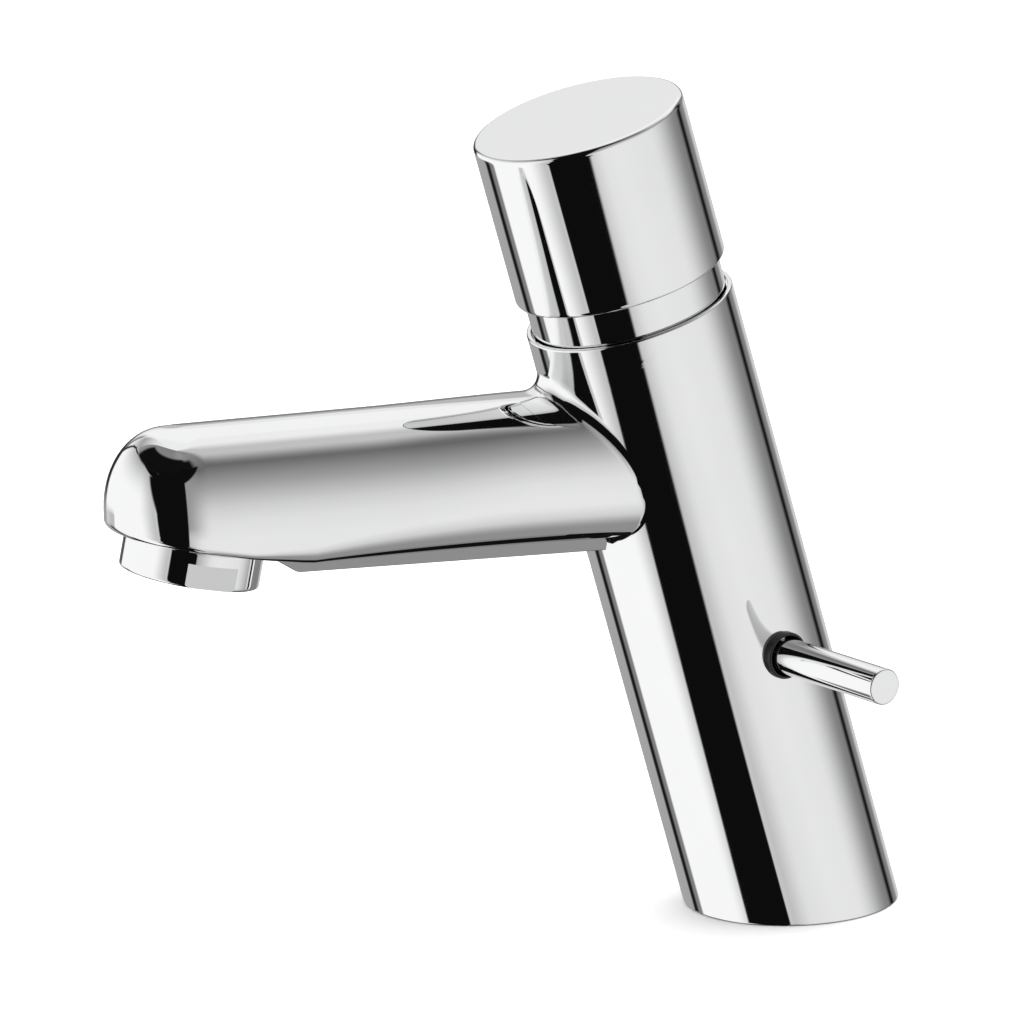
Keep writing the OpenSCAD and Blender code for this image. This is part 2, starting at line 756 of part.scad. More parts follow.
// The return spring: one unbroken wire from the head's flange to the cap's insert
wire_r = wire_d / 2;
wire_steps = 8;
wire_sides = 6;
spring_n = spring_turns * wire_steps;
spring_low = sleeve_s + wire_r + seat_gap;
spring_high = insert_s - wire_r - seat_gap;
function spring_rise(i) = spring_low + (spring_high - spring_low) * i / spring_n;
function wire_point(i, out, up) =
    let (turn = 360 * i / wire_steps, r = spring_d / 2 + out)
    [r * cos(turn), r * sin(turn), spring_rise(i) + up];
wire_points = [for (i = [0:spring_n], k = [0:wire_sides - 1])
    let (a = 360 * (k + 0.5) / wire_sides)
    wire_point(i, wire_r * cos(a), wire_r * sin(a))];
wire_gaps = [for (i = [0:spring_n - wire_steps + 1], j = [i + wire_steps - 1:spring_n])
    norm(wire_point(i, 0, 0) - wire_point(j, 0, 0)) - wire_d];
echo(least_gap_between_turns = min(wire_gaps));

module return_spring() {
    sides = [for (i = [0:spring_n - 1], k = [0:wire_sides - 1])
        let (a = i * wire_sides + k, b = i * wire_sides + (k + 1) % wire_sides)
        each [[a, b, a + wire_sides], [b, b + wire_sides, a + wire_sides]]];
    low_end = [[for (k = [wire_sides - 1:-1:0]) k]];
    high_end = [[for (k = [0:wire_sides - 1]) spring_n * wire_sides + k]];
    color("gainsboro") leaned() polyhedron(wire_points, concat(sides, low_end, high_end), convexity = 10);
}

// The chromed sleeve: threaded foot and throat in the body's recess, plain neck that the cap slides over
module guide_sleeve() {
    color("silver") leaned() difference() {
        union() {
            bar(recess_d - 2 * seat_gap, sleeve_s, sleeve_s + sleeve_foot);
            bar(throat_d, sleeve_s, rim_s + free_gap + over);
            bar(neck_d, rim_s + free_gap, sleeve_end);
        }
        bar(sleeve_bore, sleeve_s - over, sleeve_end + over);
        ring(neck_d + over, guide_bore, guide_s - seat_gap, guide_s + guide_h + seat_gap);
    }
}

module guide_ring() {
    color("ivory") leaned()
        ring(cap_bore - 2 * run_gap, guide_bore + 2 * seat_gap, guide_s, guide_s + guide_h);
}

module push_cap() {
    color("silver") leaned() difference() {
        translate([0, 0, cap_s]) rotate_extrude() half_round_rect(cap_d / 2, cap_h, cap_lip, cap_round);
        bar(cap_bore, cap_s - over, insert_end);
    }
}

module cap_insert() {
    boss_s = insert_s - insert_boss_h;
    color("ivory") leaned() difference() {
        union() {
            bar(cap_bore - 2 * seat_gap, insert_s, insert_end);
            bar(insert_boss_d, boss_s, insert_s + over);
        }
        bar(spindle_d + 2 * seat_gap, boss_s - over, spindle_end + face_gap);
    }
}

module aerator_gasket() {
    outer = outlet_thread_d - 2 * end_gap;
    color("#202224") outlet_frame() ring(outer, outer - 2 * outlet_gasket_w, gasket_low, gasket_top);
}

module aerator_screen() {
    color("gainsboro") outlet_frame() difference() {
        bar(core_d, mesh_low, mesh_low + mesh_h);
        for (x = [-2:2], y = [-2:2]) translate([x * mesh_pitch, y * mesh_pitch, 0])
            bar(mesh_hole, mesh_low - over, mesh_low + mesh_h + over);
    }
}

// The core: a plate of six-sided cells that straightens the jet
module aerator_insert() {
    pitch = cell_w + cell_wall;
    color("#d8dadb") outlet_frame() difference() {
        bar(core_d, core_low, core_high);
        bar(core_d - 2 * core_wall, core_low + cell_h, core_high + over);
        for (a = [-3:3], b = [-3:3]) if (abs(a + b) <= 3)
            translate([pitch * (a + b / 2), pitch * b * sin(60), core_low - over])
                cylinder(d = cell_w / cos(30), h = cell_h + 2 * over, $fn = 6);
    }
}

module aerator_housing() {
    bevel = aerator_chamfer;
    color("silver") outlet_frame() difference() {
        union() {
            bar(aerator_d, -aerator_h + bevel, -face_gap);
            translate([0, 0, -aerator_h]) cylinder(d1 = aerator_d - 2 * bevel, d2 = aerator_d, h = bevel);
            bar(spigot_d, -over, spigot_end);
        }
        bar(aerator_bore, core_low, spigot_end + over);
        bar(core_d - 2 * lip_w, -aerator_h - over, core_low + over);
        for (turn = [0, 180]) rotate([0, 0, turn])
            translate([flats_w / 2, -aerator_d / 2, -aerator_h - over])
                cube([aerator_d, aerator_d, flats_h + over]);
    }
}

body();
base_gasket();
inlet_screens();
check_valve_hot();
check_valve_cold();
mixing_collar();
lever_bush();
lever_pivot();
lever();
cartridge_housing();
lower_o_ring();
upper_o_ring();
cartridge_head();
spindle_seal();
spindle();
main_valve();
valve_washer();
timing_piston();
piston_seal();
return_spring();
guide_sleeve();
guide_ring();
push_cap();
cap_insert();
aerator_gasket();
aerator_screen();
aerator_insert();
aerator_housing();
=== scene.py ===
"""Self-closing push tap with a leaning chromed body: its finished pieces, its stage and its camera."""

import json
import math

import bmesh
import bpy
from bpy.props import FloatProperty, FloatVectorProperty, PointerProperty
from mathutils import Matrix, Vector


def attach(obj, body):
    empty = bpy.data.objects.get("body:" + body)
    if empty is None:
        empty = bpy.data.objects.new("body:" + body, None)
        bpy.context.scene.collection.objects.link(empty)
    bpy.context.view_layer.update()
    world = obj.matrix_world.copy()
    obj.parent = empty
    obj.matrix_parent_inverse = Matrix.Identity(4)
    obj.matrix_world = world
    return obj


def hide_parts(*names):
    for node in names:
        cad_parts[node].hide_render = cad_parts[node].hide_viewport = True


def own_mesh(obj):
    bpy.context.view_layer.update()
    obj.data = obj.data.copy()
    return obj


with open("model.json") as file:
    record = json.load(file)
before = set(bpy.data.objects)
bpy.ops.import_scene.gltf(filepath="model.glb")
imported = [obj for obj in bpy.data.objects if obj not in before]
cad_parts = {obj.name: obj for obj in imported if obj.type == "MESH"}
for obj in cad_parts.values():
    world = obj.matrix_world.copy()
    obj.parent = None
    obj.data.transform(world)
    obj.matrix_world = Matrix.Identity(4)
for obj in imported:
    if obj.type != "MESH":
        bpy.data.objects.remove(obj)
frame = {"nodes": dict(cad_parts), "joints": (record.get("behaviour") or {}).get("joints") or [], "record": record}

bl_info = {
    "name": "Push Tap",
    "version": (1, 0, 0),
    "blender": (4, 5, 0),
    "location": "3D View > Sidebar > Tap",
    "description": "Models the finished pieces of a self-closing push tap on its packed frame",
    "category": "Add Mesh",
}

MM = 0.001
SEAM = 0.002 * MM
SMOOTH_ANGLE = math.radians(35)
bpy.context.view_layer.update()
JOINTS = {joint["name"]: joint for joint in frame["joints"]}
PUSH_AXIS = Vector(JOINTS["cap_push"]["axis"])
LEAN = math.atan2(PUSH_AXIS.y, -PUSH_AXIS.z)


def length(name, millimetres, description):
    """A size of the tap, kept in metres."""
    return FloatProperty(
        name=name, description=description, default=millimetres * MM, unit="LENGTH", precision=5
    )


def angle(name, degrees, description):
    """An angle of the tap."""
    return FloatProperty(name=name, description=description, default=math.radians(degrees), subtype="ANGLE")


def colour(name, value, description):
    """A colour of a finish."""
    return FloatVectorProperty(
        name=name, description=description, default=value, size=3, min=0.0, max=1.0, subtype="COLOR"
    )


def amount(name, value, description):
    """A plain number of a finish or of the stage."""
    return FloatProperty(name=name, description=description, default=value, precision=4)


class TapSizes(bpy.types.PropertyGroup):
    """Sizes of the tap's visible pieces. Heights marked axis run along the leaning axis from the deck."""

    body_d: length("Body diameter", 42, "Diameter of the leaning body")
    rim_s: length("Rim height", 130, "Axis height of the body's rim")
    rim_round: length("Rim bead", 0.4, "Roundness of the rim's bead")
    recess_d: length("Recess diameter", 40.1, "Diameter of the recess inside the rim")
    recess_s: length("Recess floor", 120, "Axis height of the recess's floor")
    base_edge: length("Base edge", 0.35, "Roundness of the body's lower edge")
    groove_out: length("Gasket groove outside", 38.66, "Outer diameter of the gasket's groove")
    groove_in: length("Gasket groove inside", 34.94, "Inner diameter of the gasket's groove")
    gasket_h: length("Gasket thickness", 1.4, "Depth of the gasket's groove")
    pocket_d: length("Pocket diameter", 33, "Diameter of the hose pocket")
    pocket_s: length("Pocket ceiling", 28, "Axis height of the hose pocket's ceiling")
    inlet_d: length("Inlet diameter", 10, "Diameter of each hose inlet")
    inlet_s: length("Inlet end", 40, "Axis height where each hose inlet ends")
    inlet_x: length("Inlet offset", 7.5, "Distance of each inlet from the middle plane")
    inlet_front: length("Inlet advance", 5, "Distance of the inlets in front of the axis")
    passage_d: length("Passage diameter", 8, "Diameter of the passage above each inlet")
    stud_d: length("Stud diameter", 8, "Diameter of the fixing stud's hole")
    stud_back: length("Stud offset", 4.5, "Distance of the fixing stud behind the base centre")
    stud_boss_d: length("Boss diameter", 13, "Diameter of the fixing stud's boss")
    stud_boss_z: length("Boss height", 14, "Height of the boss's end face")
    stud_top: length("Stud hole end", 28, "Height where the stud's hole ends")
    boss_top: length("Boss root", 33, "Height where the boss runs into the ceiling")
    chamber_d: length("Chamber diameter", 31, "Diameter of the mixing chamber")
    chamber_s: length("Chamber floor", 48, "Axis height of the mixing chamber's floor")
    bore_d: length("Bore diameter", 33, "Diameter of the cartridge bore")
    ledge_s: length("Bore floor", 66, "Axis height of the cartridge's ledge")
    window_s: length("Waterway height", 97.8, "Axis height where the waterway leaves the bore")
    waterway_d: length("Waterway diameter", 11, "Diameter of the waterway in the spout")

    tip_d: length("Reach", 127, "Distance of the outlet's centre in front of the base centre")
    outlet_z: length("Outlet height", 89.2, "Height of the outlet face's centre")
    outlet_tilt: angle("Outlet tilt", 12, "Forward tilt of the outlet")
    socket_d: length("Socket diameter", 24, "Diameter of the outlet's socket")
    socket_h: length("Socket depth", 10, "Depth of the outlet's socket")
    spout_w: length("Spout width", 32, "Width of the spout")
    tip_h: length("Tip height", 23.15, "Height of the spout's top above the outlet's centre")
    nose_lead: length("Nose lead", 1.8, "Distance of the nose's centre in front of the outlet's centre")
    nose_breadth: length("Nose edge breadth", 11.6, "Breadth of the nose's elliptical edge at the front")
    nose_depth: length("Nose edge depth", 15.6, "Depth of the nose's elliptical edge at the front")
    top_rise: angle("Top rise", 1.6, "Rise of the spout's top towards the tip")
    arm_drop: length("Arm drop", 3, "Drop of the arm's underside below the outlet's centre")
    bottom_rise: angle("Underside rise", 3, "Rise of the arm's underside towards the tip")
    top_breadth: length("Upper edge breadth", 15.5, "Breadth of the spout's elliptical upper edges")
    top_depth: length("Upper edge depth", 19.2, "Depth of the spout's elliptical upper edges")
    root_breadth: length("Root edge breadth", 14, "Breadth of the upper edges at the body")
    root_depth: length("Root edge depth", 17, "Depth of the upper edges at the body")
    root_start: length(
        "Root easing start", 57, "Distance in front of the base where the upper edges start to widen"
    )
    root_ease: length("Root easing", 34, "Length over which the upper edges widen")
    low_breadth: length("Lower edge breadth", 7.2, "Breadth of the arm's elliptical lower edges")
    low_depth: length("Lower edge depth", 8.6, "Depth of the arm's elliptical lower edges")
    tip_round: length("Outlet edge", 1.5, "Roundness of the outlet face's edge")
    edge_ease: length("Edge easing", 66, "Length over which the lower edges sharpen")
    edge_lead: length("Sharp edge", 7, "Length of the sharp lower edges behind the outlet's centre")
    root_fillet: length("Root fillet", 3.2, "Fillet between the spout and the body")
    root_pinch: length("Root pinch", 2, "Loss of the fillet at the spout's lower edges")
    rib_w: length("Rib width", 11.5, "Width of the rib's lower face under the arm")
    rib_slope: angle("Rib slope", 30, "Slope of the rib's sides from upright")
    rib_root: length("Rib depth at body", 3.4, "Depth of the rib at the body")
    rib_front: length("Rib depth at front", 3.6, "Depth of the rib at its front end")
    rib_stop: length("Rib stop", 19.5, "Distance from the rib's front end to the outlet's centre")
    rib_ramp: length("Rib ramp", 8, "Length of the rib's front ramp")
    rib_edge: length("Rib edge", 0.4, "Roundness of the rib's lower edges")

    cap_d: length("Cap diameter", 42.6, "Diameter of the push cap")
    cap_bore: length("Cap bore", 40.2, "Bore of the push cap")
    cap_s: length("Cap lower edge", 137, "Axis height of the cap's lower edge")
    cap_end: length("Cap top", 170.7, "Axis height of the cap's top")
    cap_top: length("Cap top wall", 2.5, "Thickness of the cap's top")
    cap_round: length("Cap upper edge", 1.0, "Roundness of the cap's upper edge")
    cap_lip: length("Cap lower roundness", 0.5, "Roundness of the cap's lower edge")
    sleeve_s: length("Sleeve foot", 124, "Axis height of the sleeve's foot")
    sleeve_end: length("Sleeve top", 156.7, "Axis height of the sleeve's upper end")
    foot_d: length("Foot diameter", 40.04, "Diameter of the sleeve's threaded foot")
    foot_h: length("Foot length", 3.5, "Length of the sleeve's threaded foot")
    throat_d: length("Throat diameter", 39.2, "Diameter of the sleeve inside the rim")
    neck_d: length("Neck diameter", 39.4, "Diameter of the sleeve under the cap")
    neck_s: length("Neck start", 130.3, "Axis height where the neck starts")
    sleeve_bore: length("Sleeve bore", 34.4, "Bore of the sleeve")
    guide_s: length("Guide groove", 150.7, "Axis height of the guide ring's groove")
    guide_h: length("Guide groove height", 4, "Height of the guide ring's groove")
    guide_d: length("Guide groove diameter", 38.2, "Diameter at the bottom of the guide ring's groove")
    spring_d: length("Spring diameter", 22, "Mean diameter of the return spring")
    wire_d: length("Spring wire", 1.8, "Wire of the return spring")
    spring_s: length("Spring foot", 124.03, "Axis height of the spring's lower end")
    spring_end: length("Spring top", 163.17, "Axis height of the spring's upper end")

    lever_d: length("Lever diameter", 7.3, "Diameter of the temperature lever")
    lever_end: length("Lever end", 53, "Distance of the lever's end from the axis")
    lever_chamfer: length("Lever edge", 0.35, "Roundness of the lever's end")
    lever_s: length("Lever height", 58.5, "Axis height where the lever's line meets the axis")
    lever_back: angle("Lever angle", 13, "Angle of the lever behind the tap's right side")
    pivot_r: length("Pivot distance", 21.3, "Distance of the lever's pivot from the axis")
    pivot_d: length("Pivot hole", 2.12, "Diameter of the hole for the pivot")
    tail_end: length("Lever shoulder", 18, "Distance of the lever's inner shoulder from the axis")
    tail_cone: length("Lever cone", 1.5, "Length of the cone behind the shoulder")
    tail_d: length("Tail diameter", 3.4, "Diameter of the lever's tail")
    ball_r: length("Ball distance", 10.85, "Distance of the lever's ball from the axis")
    ball_d: length("Ball diameter", 5.6, "Diameter of the lever's ball")
    bush_d: length("Bush diameter", 9.4, "Diameter of the lever's bush")
    bush_h: length("Bush length", 2.4, "Length of the lever's bush")
    bush_round: length("Bush edge", 0.54, "Roundness of the bush's outer edge")
    bush_waist: length("Bush waist", 7.86, "Narrowest diameter of the bush's bore")
    waist_round: length("Waist curve", 2.6, "Curve of the bush's waist")

    aerator_d: length("Aerator diameter", 27.8, "Diameter of the aerator's housing")
    aerator_h: length("Aerator height", 7.2, "Height of the aerator's housing below the spout")
    aerator_gap: length("Aerator gap", 0.1, "Gap between the housing and the outlet face")
    aerator_round: length("Aerator edge", 0.7, "Roundness of the housing's lower edge")
    flats_w: length("Flats width", 25.8, "Distance between the housing's spanner flats")
    flats_h: length("Flats height", 4.8, "Height of the spanner flats")
    flats_turn: angle("Flats turn", -4, "Turn of the spanner flats from the sides")
    spigot_d: length("Spigot diameter", 23.8, "Diameter of the housing's threaded spigot")
    spigot_end: length("Spigot height", 7.8, "Height of the spigot's end above the outlet face")
    aerator_bore: length("Aerator bore", 20.6, "Bore of the housing")
    lip_d: length("Aerator lip", 18.54, "Bore of the lip that holds the core")
    lip_h: length("Aerator lip height", 1.4, "Thickness of the lip that holds the core")


class TapFinishes(bpy.types.PropertyGroup):
    """Colours and gloss of the tap's finishes."""

    chrome: colour("Chrome", (0.955, 0.957, 0.96), "Tint of the polished chrome")
    chrome_haze: colour("Chrome haze", (0.935, 0.938, 0.942), "Tint of the chrome where it is hazed")
    steel: colour("Steel", (0.6, 0.61, 0.62), "Tint of the plain steel")
    brass: colour("Brass", (0.75, 0.55, 0.25), "Tint of the turned brass")
    rubber: colour("Rubber", (0.02, 0.02, 0.021), "Colour of the seals")
    black_plastic: colour("Black plastic", (0.012, 0.012, 0.013), "Colour of the lever's bush")
    white_plastic: colour("White plastic", (0.8, 0.79, 0.75), "Colour of the inner mouldings")
    grey_plastic: colour("Grey plastic", (0.55, 0.56, 0.57), "Colour of the aerator's core")
    hot_plastic: colour("Hot plastic", (0.5, 0.06, 0.05), "Colour of the hot side's check valve")
    cold_plastic: colour("Cold plastic", (0.05, 0.12, 0.42), "Colour of the cold side's check valve")
    chrome_polish: amount("Chrome polish", 0.012, "Roughness of the chrome where it is brightest")
    chrome_dull: amount("Chrome dullness", 0.03, "Roughness of the chrome where it is faintly hazed")
    satin: colour("Satin chrome", (0.8, 0.803, 0.808), "Tint of the satin spanner flats")
    satin_dull: amount("Satin dullness", 0.32, "Roughness of the satin spanner flats")


class TapStage(bpy.types.PropertyGroup):
    """Camera, floor and light."""

    look_at: FloatVectorProperty(
        name="Look at", description="Point that the camera looks at", subtype="TRANSLATION",
        default=(0.0, -59.54 * MM, 86.85 * MM),
    )
    distance: length("Camera distance", 2400, "Distance of the camera from the point it looks at")
    side: angle("Camera side", 23.3, "Turn of the camera from the tap's right side towards its front")
    height: angle("Camera height", 14.43, "Height of the camera above the horizon")
    roll: angle("Camera roll", -1.01, "Roll of the camera")
    lens: amount("Focal length", 427.75, "Focal length of the camera in millimetres")
    floor_size: length("Floor size", 40000, "Width of the floor")
    floor_drop: length("Floor drop", 0.05, "Distance of the floor below the tap's base")
    floor: colour("Floor", (0.9, 0.9, 0.9), "Colour of the floor")
    lamp_power: amount("Lamp power", 300.0, "Power of the lamp over the floor in watts")
    lamp_size: length("Lamp size", 6000, "Width of the lamp over the floor")
    lamp_height: length("Lamp height", 3000, "Height of the lamp over the floor")


def body_frame():
    """Z along the leaning axis, -Y to the front."""
    return Matrix.Rotation(LEAN, 4, "X")


def lever_droop(z):
    """Angle below square to the leaning axis at which the lever lies level."""
    return math.atan(math.sin(z.lever_back) * math.tan(LEAN))


def lever_frame(z):
    """Z out along the lever from the body axis. The lever lies level although the body leans."""
    return (
        body_frame()
        @ Matrix.Translation((0, 0, z.lever_s))
        @ Matrix.Rotation(z.lever_back, 4, "Z")
        @ Matrix.Rotation(lever_droop(z) + math.pi / 2, 4, "Y")
    )


def outlet_frame(z):
    """Z up through the outlet face's centre, square to the face."""
    return Matrix.Translation((0, -z.tip_d, z.outlet_z)) @ Matrix.Rotation(-z.outlet_tilt, 4, "X")


def steps(start, end, count):
    """Evenly spaced values from start to end, both included."""
    return [start + (end - start) * i / count for i in range(count + 1)]


def arc(centre, radius, start, end, count):
    """Points of an arc in (radius, height), by angle in degrees from the outward direction."""
    return [
        (centre[0] + radius * math.cos(math.radians(a)), centre[1] + radius * math.sin(math.radians(a)))
        for a in steps(start, end, count)
    ]


def clamp(t):
    """A share kept between 0 and 1."""
    return min(max(t, 0.0), 1.0)


def ease(t):
    """A smooth step from 0 to 1."""
    t = clamp(t)
    return t * t * (3 - 2 * t)


def between(start, end, share):
    """The value at a share of the way from start to end."""
    return start + (end - start) * share


def select_only(piece):
    """Leaves one object selected and active."""
    deselect()
    piece.select_set(True)
    bpy.context.view_layer.objects.active = piece


def deselect():
    """Leaves nothing selected."""
    bpy.ops.object.select_all(action="DESELECT")


def settle(piece, place):
    """Puts a piece's place into its mesh and leaves its object at the origin."""
    select_only(piece)
    piece.matrix_world = place
    bpy.ops.object.transform_apply(location=True, rotation=True, scale=True)
    return piece


def lathe(name, profile, place, turns=128):
    """A round piece: one vertex is extruded along the profile, and the profile is spun round Z."""
    deselect()
    bpy.ops.mesh.primitive_plane_add(size=MM)
    piece = bpy.context.active_object
    piece.name = piece.data.name = name
    bpy.ops.object.mode_set(mode="EDIT")
    bpy.ops.mesh.select_mode(type="VERT")
    bpy.ops.mesh.select_all(action="SELECT")
    bpy.ops.mesh.merge(type="CENTER")
    bpy.ops.transform.translate(value=(profile[0][0], 0, profile[0][1]))
    for (r0, h0), (r1, h1) in zip(profile, profile[1:]):
        bpy.ops.mesh.extrude_vertices_move(TRANSFORM_OT_translate={"value": (r1 - r0, 0, h1 - h0)})
    bpy.ops.mesh.select_all(action="SELECT")
    bpy.ops.mesh.spin(steps=turns, angle=2 * math.pi, center=(0, 0, 0), axis=(0, 0, 1))
    bpy.ops.mesh.select_all(action="SELECT")
    bpy.ops.mesh.remove_doubles(threshold=SEAM / 2)
    bpy.ops.mesh.normals_make_consistent(inside=False)
    bpy.ops.object.mode_set(mode="OBJECT")
    return settle(piece, place)


def rod(name, diameter, low, high, place, sides=64):
    """A round bar between two heights of a frame, to cut with or to join."""
    return lathe(name, [(0, low), (diameter / 2, low), (diameter / 2, high), (0, high)], place, sides)


def combine(piece, tool, operation="DIFFERENCE"):
    """Cuts a piece with a tool or joins the two, and takes the tool away."""
    select_only(piece)
    bpy.ops.object.modifier_add(type="BOOLEAN")
    modifier = piece.modifiers[-1]
    modifier.object = tool
    modifier.operation = operation
    modifier.solver = "EXACT"
    bpy.ops.object.modifier_apply(modifier=modifier.name)
    bpy.data.objects.remove(tool)


def tidy(piece):
    """Closes the slivers that cuts leave, and turns every face outwards."""
    select_only(piece)
    bpy.ops.object.mode_set(mode="EDIT")
    bpy.ops.mesh.select_mode(type="VERT")
    bpy.ops.mesh.select_all(action="SELECT")
    bpy.ops.mesh.remove_doubles(threshold=SEAM)
    bpy.ops.mesh.dissolve_degenerate(threshold=SEAM / 2)
    bpy.ops.mesh.select_all(action="SELECT")
    bpy.ops.mesh.normals_make_consistent(inside=False)
    bpy.ops.object.mode_set(mode="OBJECT")


def wear(piece, material):
    """Gives a piece its one material."""
    piece.data.materials.clear()
    piece.data.materials.append(material)


def present(piece, body, material, nodes=()):
    """Smooths a piece, gives it its finish and hands it to the body that carries it."""
    select_only(piece)
    bpy.ops.object.shade_smooth_by_angle(angle=SMOOTH_ANGLE)
    wear(piece, material)
    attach(piece, body)
    if nodes:
        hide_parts(*nodes)


# Casting: the leaning tube and the spout, with the fillet between them


CORNER_STEPS = 24
STRAIGHT_STEPS = (12, 8, 16, 8)
ROOT_STEPS = 20
LEVEL_STEPS = 12
ARM_STEPS = 24
TIP_STEPS = 28
FRONT_SPAN = math.radians(78)
FRONT_LOW = 78 * MM
FRONT_HIGH = 126 * MM
LEVER_SPAN = math.radians(22)
LEVER_STEPS = 12
LEVER_HALF = 8 * MM
LEVER_HOLE_GAP = 0.03 * MM
LEVER_HOLE_OVERRUN = 3 * MM
SIDE_STEPS = 2
BACK_STEPS = 40
WAIST_STEPS = 5
LEVEL_LEAD = 10 * MM
ROOT_SHARES = (1.0, 0.82, 0.64, 0.48, 0.34, 0.22, 0.1)
LEVER_SHARES = (1.0, 0.8, 0.6, 0.42, 0.26, 0.12, 0.04, 0.0)
FOOT_SHARES = (0.02, 0.06, *steps(0.12, 1.0, 10))
RIB_LEAD = 18 * MM
RIB_SUNK = 1.5 * MM
RIB_STEPS = 12
RAMP_LEAD = 3 * MM
RAMP_STEPS = 16


def outline():
    """The spout's outline: four corners of arc points, each followed by the points of a straight."""
    points = []
    for corner, straight in enumerate(STRAIGHT_STEPS):
        start = 90 * corner
        points += [(corner, math.radians(a), 0.0) for a in steps(start, start + 90, CORNER_STEPS)]
        points += [(corner, math.radians(start + 90), k / straight) for k in range(1, straight)]
    return points


def along(corner_point, item):
    """An outline point: on a corner, or on the straight between it and the next corner."""
    corner, turn, share = item
    point = Vector(corner_point(corner, turn))
    if share:
        point = point.lerp(Vector(corner_point((corner + 1) % 4, turn)), share)
    return point


def top_at(z, d):
    """Height of the spout's top at distance d in front of the base centre."""
    return z.outlet_z + z.tip_h + math.tan(z.top_rise) * (d - z.tip_d)


def arm_at(z, d):
    """Height of the arm's underside."""
    return z.outlet_z - z.arm_drop + math.tan(z.bottom_rise) * (d - z.tip_d)


def outlet_at(z, d):
    """Height of the tilted outlet face."""
    return z.outlet_z + math.tan(z.outlet_tilt) * (d - z.tip_d)


def ellipse_point(breadth, depth, turn, grow=0.0):
    """The point of an ellipse whose outward direction is turn, moved outwards by grow."""
    scale = math.hypot(breadth * math.cos(turn), depth * math.sin(turn))
    return (breadth**2 / scale + grow) * math.cos(turn), (depth**2 / scale + grow) * math.sin(turn)


def section(z, item, d, grow=0.0, at_root=True):
    """A point of the arm's cross-section as (side, height), grown outwards at the root's fillet."""
    wide = 0.0 if at_root else ease((d - z.root_start) / z.root_ease)
    top_breadth = between(z.root_breadth, z.top_breadth, wide)
    top_depth = between(z.root_depth, z.top_depth, wide)
    low_breadth, low_depth = z.low_breadth, z.low_depth
    bottom = arm_at(z, d)
    if not at_root:
        blunt = 1 - (1 - clamp((z.tip_d - z.edge_lead - d) / z.edge_ease)) ** 2
        low_breadth = between(z.tip_round, low_breadth, blunt)
        low_depth = between(z.tip_round, low_depth, blunt)
        bottom = max(bottom, outlet_at(z, d))

    def corner_point(corner, turn):
        breadth, depth = (top_breadth, top_depth) if corner < 2 else (low_breadth, low_depth)
        side = 1 if corner in (0, 3) else -1
        level = top_at(z, d) - depth if corner < 2 else bottom + depth
        out, rise = ellipse_point(breadth, depth, turn, grow)
        return side * (z.spout_w / 2 - breadth) + out, level + rise

    return along(corner_point, item)


def root_point(z, item, grow, off):
    """A point of the fillet: outline grown by grow, on a cylinder off outside the leaning body."""
    near = section(z, item, 0.0, grow)
    slope = section(z, item, 1.0, grow).y - near.y
    reach = math.sqrt((z.body_d / 2 + off) ** 2 - near.x**2)
    d = (reach + near.y * math.sin(LEAN)) / (math.cos(LEAN) - slope * math.sin(LEAN))
    return Vector((near.x, -d, near.y + slope * d))


def root_fillet(z, item):
    """A rolled fillet's section: its points from the body to the arm."""
    corner, turn, _ = item
    r = z.root_fillet - (z.root_pinch * math.sin(2 * turn) ** 2 if corner > 1 else 0.0)
    ball = root_point(z, item, r, r)
    near = section(z, item, -ball.y)
    on_arm = Vector((near.x, ball.y, near.y))
    axis = body_frame().to_3x3() @ Vector((0, 0, 1))
    outward = ball - axis * ball.dot(axis)
    on_body = ball - outward.normalized() * r
    start = on_body - ball
    end = on_arm - ball
    turn = start.angle(end)
    points = []
    for share in steps(0.0, 1.0, ROOT_STEPS):
        weight = math.sin((1 - share) * turn) * start + math.sin(share * turn) * end
        points.append(ball + weight / math.sin(turn))
    return points


def tip_point(z, item, turn):
    """A point of the rounded tip, turned from the sides to the front."""
    ahead = math.sin(turn) ** 4
    top_breadth = between(z.top_breadth, z.nose_breadth, ahead)
    top_depth = between(z.top_depth, z.nose_depth, ahead)

    def corner_point(corner, a):
        breadth, depth = (top_breadth, top_depth) if corner < 2 else (z.tip_round, z.tip_round)
        side = 1 if corner in (0, 3) else -1
        out, rise = ellipse_point(breadth, depth, a)
        reach = z.spout_w / 2 - breadth + abs(out)
        d = z.tip_d + z.nose_lead + reach * math.sin(turn)
        level = top_at(z, d) - depth if corner < 2 else outlet_at(z, d) + depth
        return side * reach * math.cos(turn), -d, level + rise

    return along(corner_point, item)


def tube_point(turn, radius, height):
    """A point of the leaning tube by its angle from the front, its radius and its axis height."""
    return body_frame() @ Vector((radius * math.sin(turn), -radius * math.cos(turn), height))


def base_height(turn, radius, level):
    """Axis height at which a line of the tube has a level above the deck."""
    return (level + radius * math.cos(turn) * math.sin(LEAN)) / math.cos(LEAN)


def base_point(turn, radius, level):
    """A point of the tube at a level above the deck."""
    return tube_point(turn, radius, base_height(turn, radius, level))


def net(mesh, rows, closed=True):
    """Adds a net of four-sided faces between rows of points."""
    rings = [[mesh.verts.new(point) for point in row] for row in rows]
    for low, high in zip(rings, rings[1:]):
        count = len(low)
        for i in range(count if closed else count - 1):
            k = (i + 1) % count
            mesh.faces.new((low[i], low[k], high[k], high[i]))


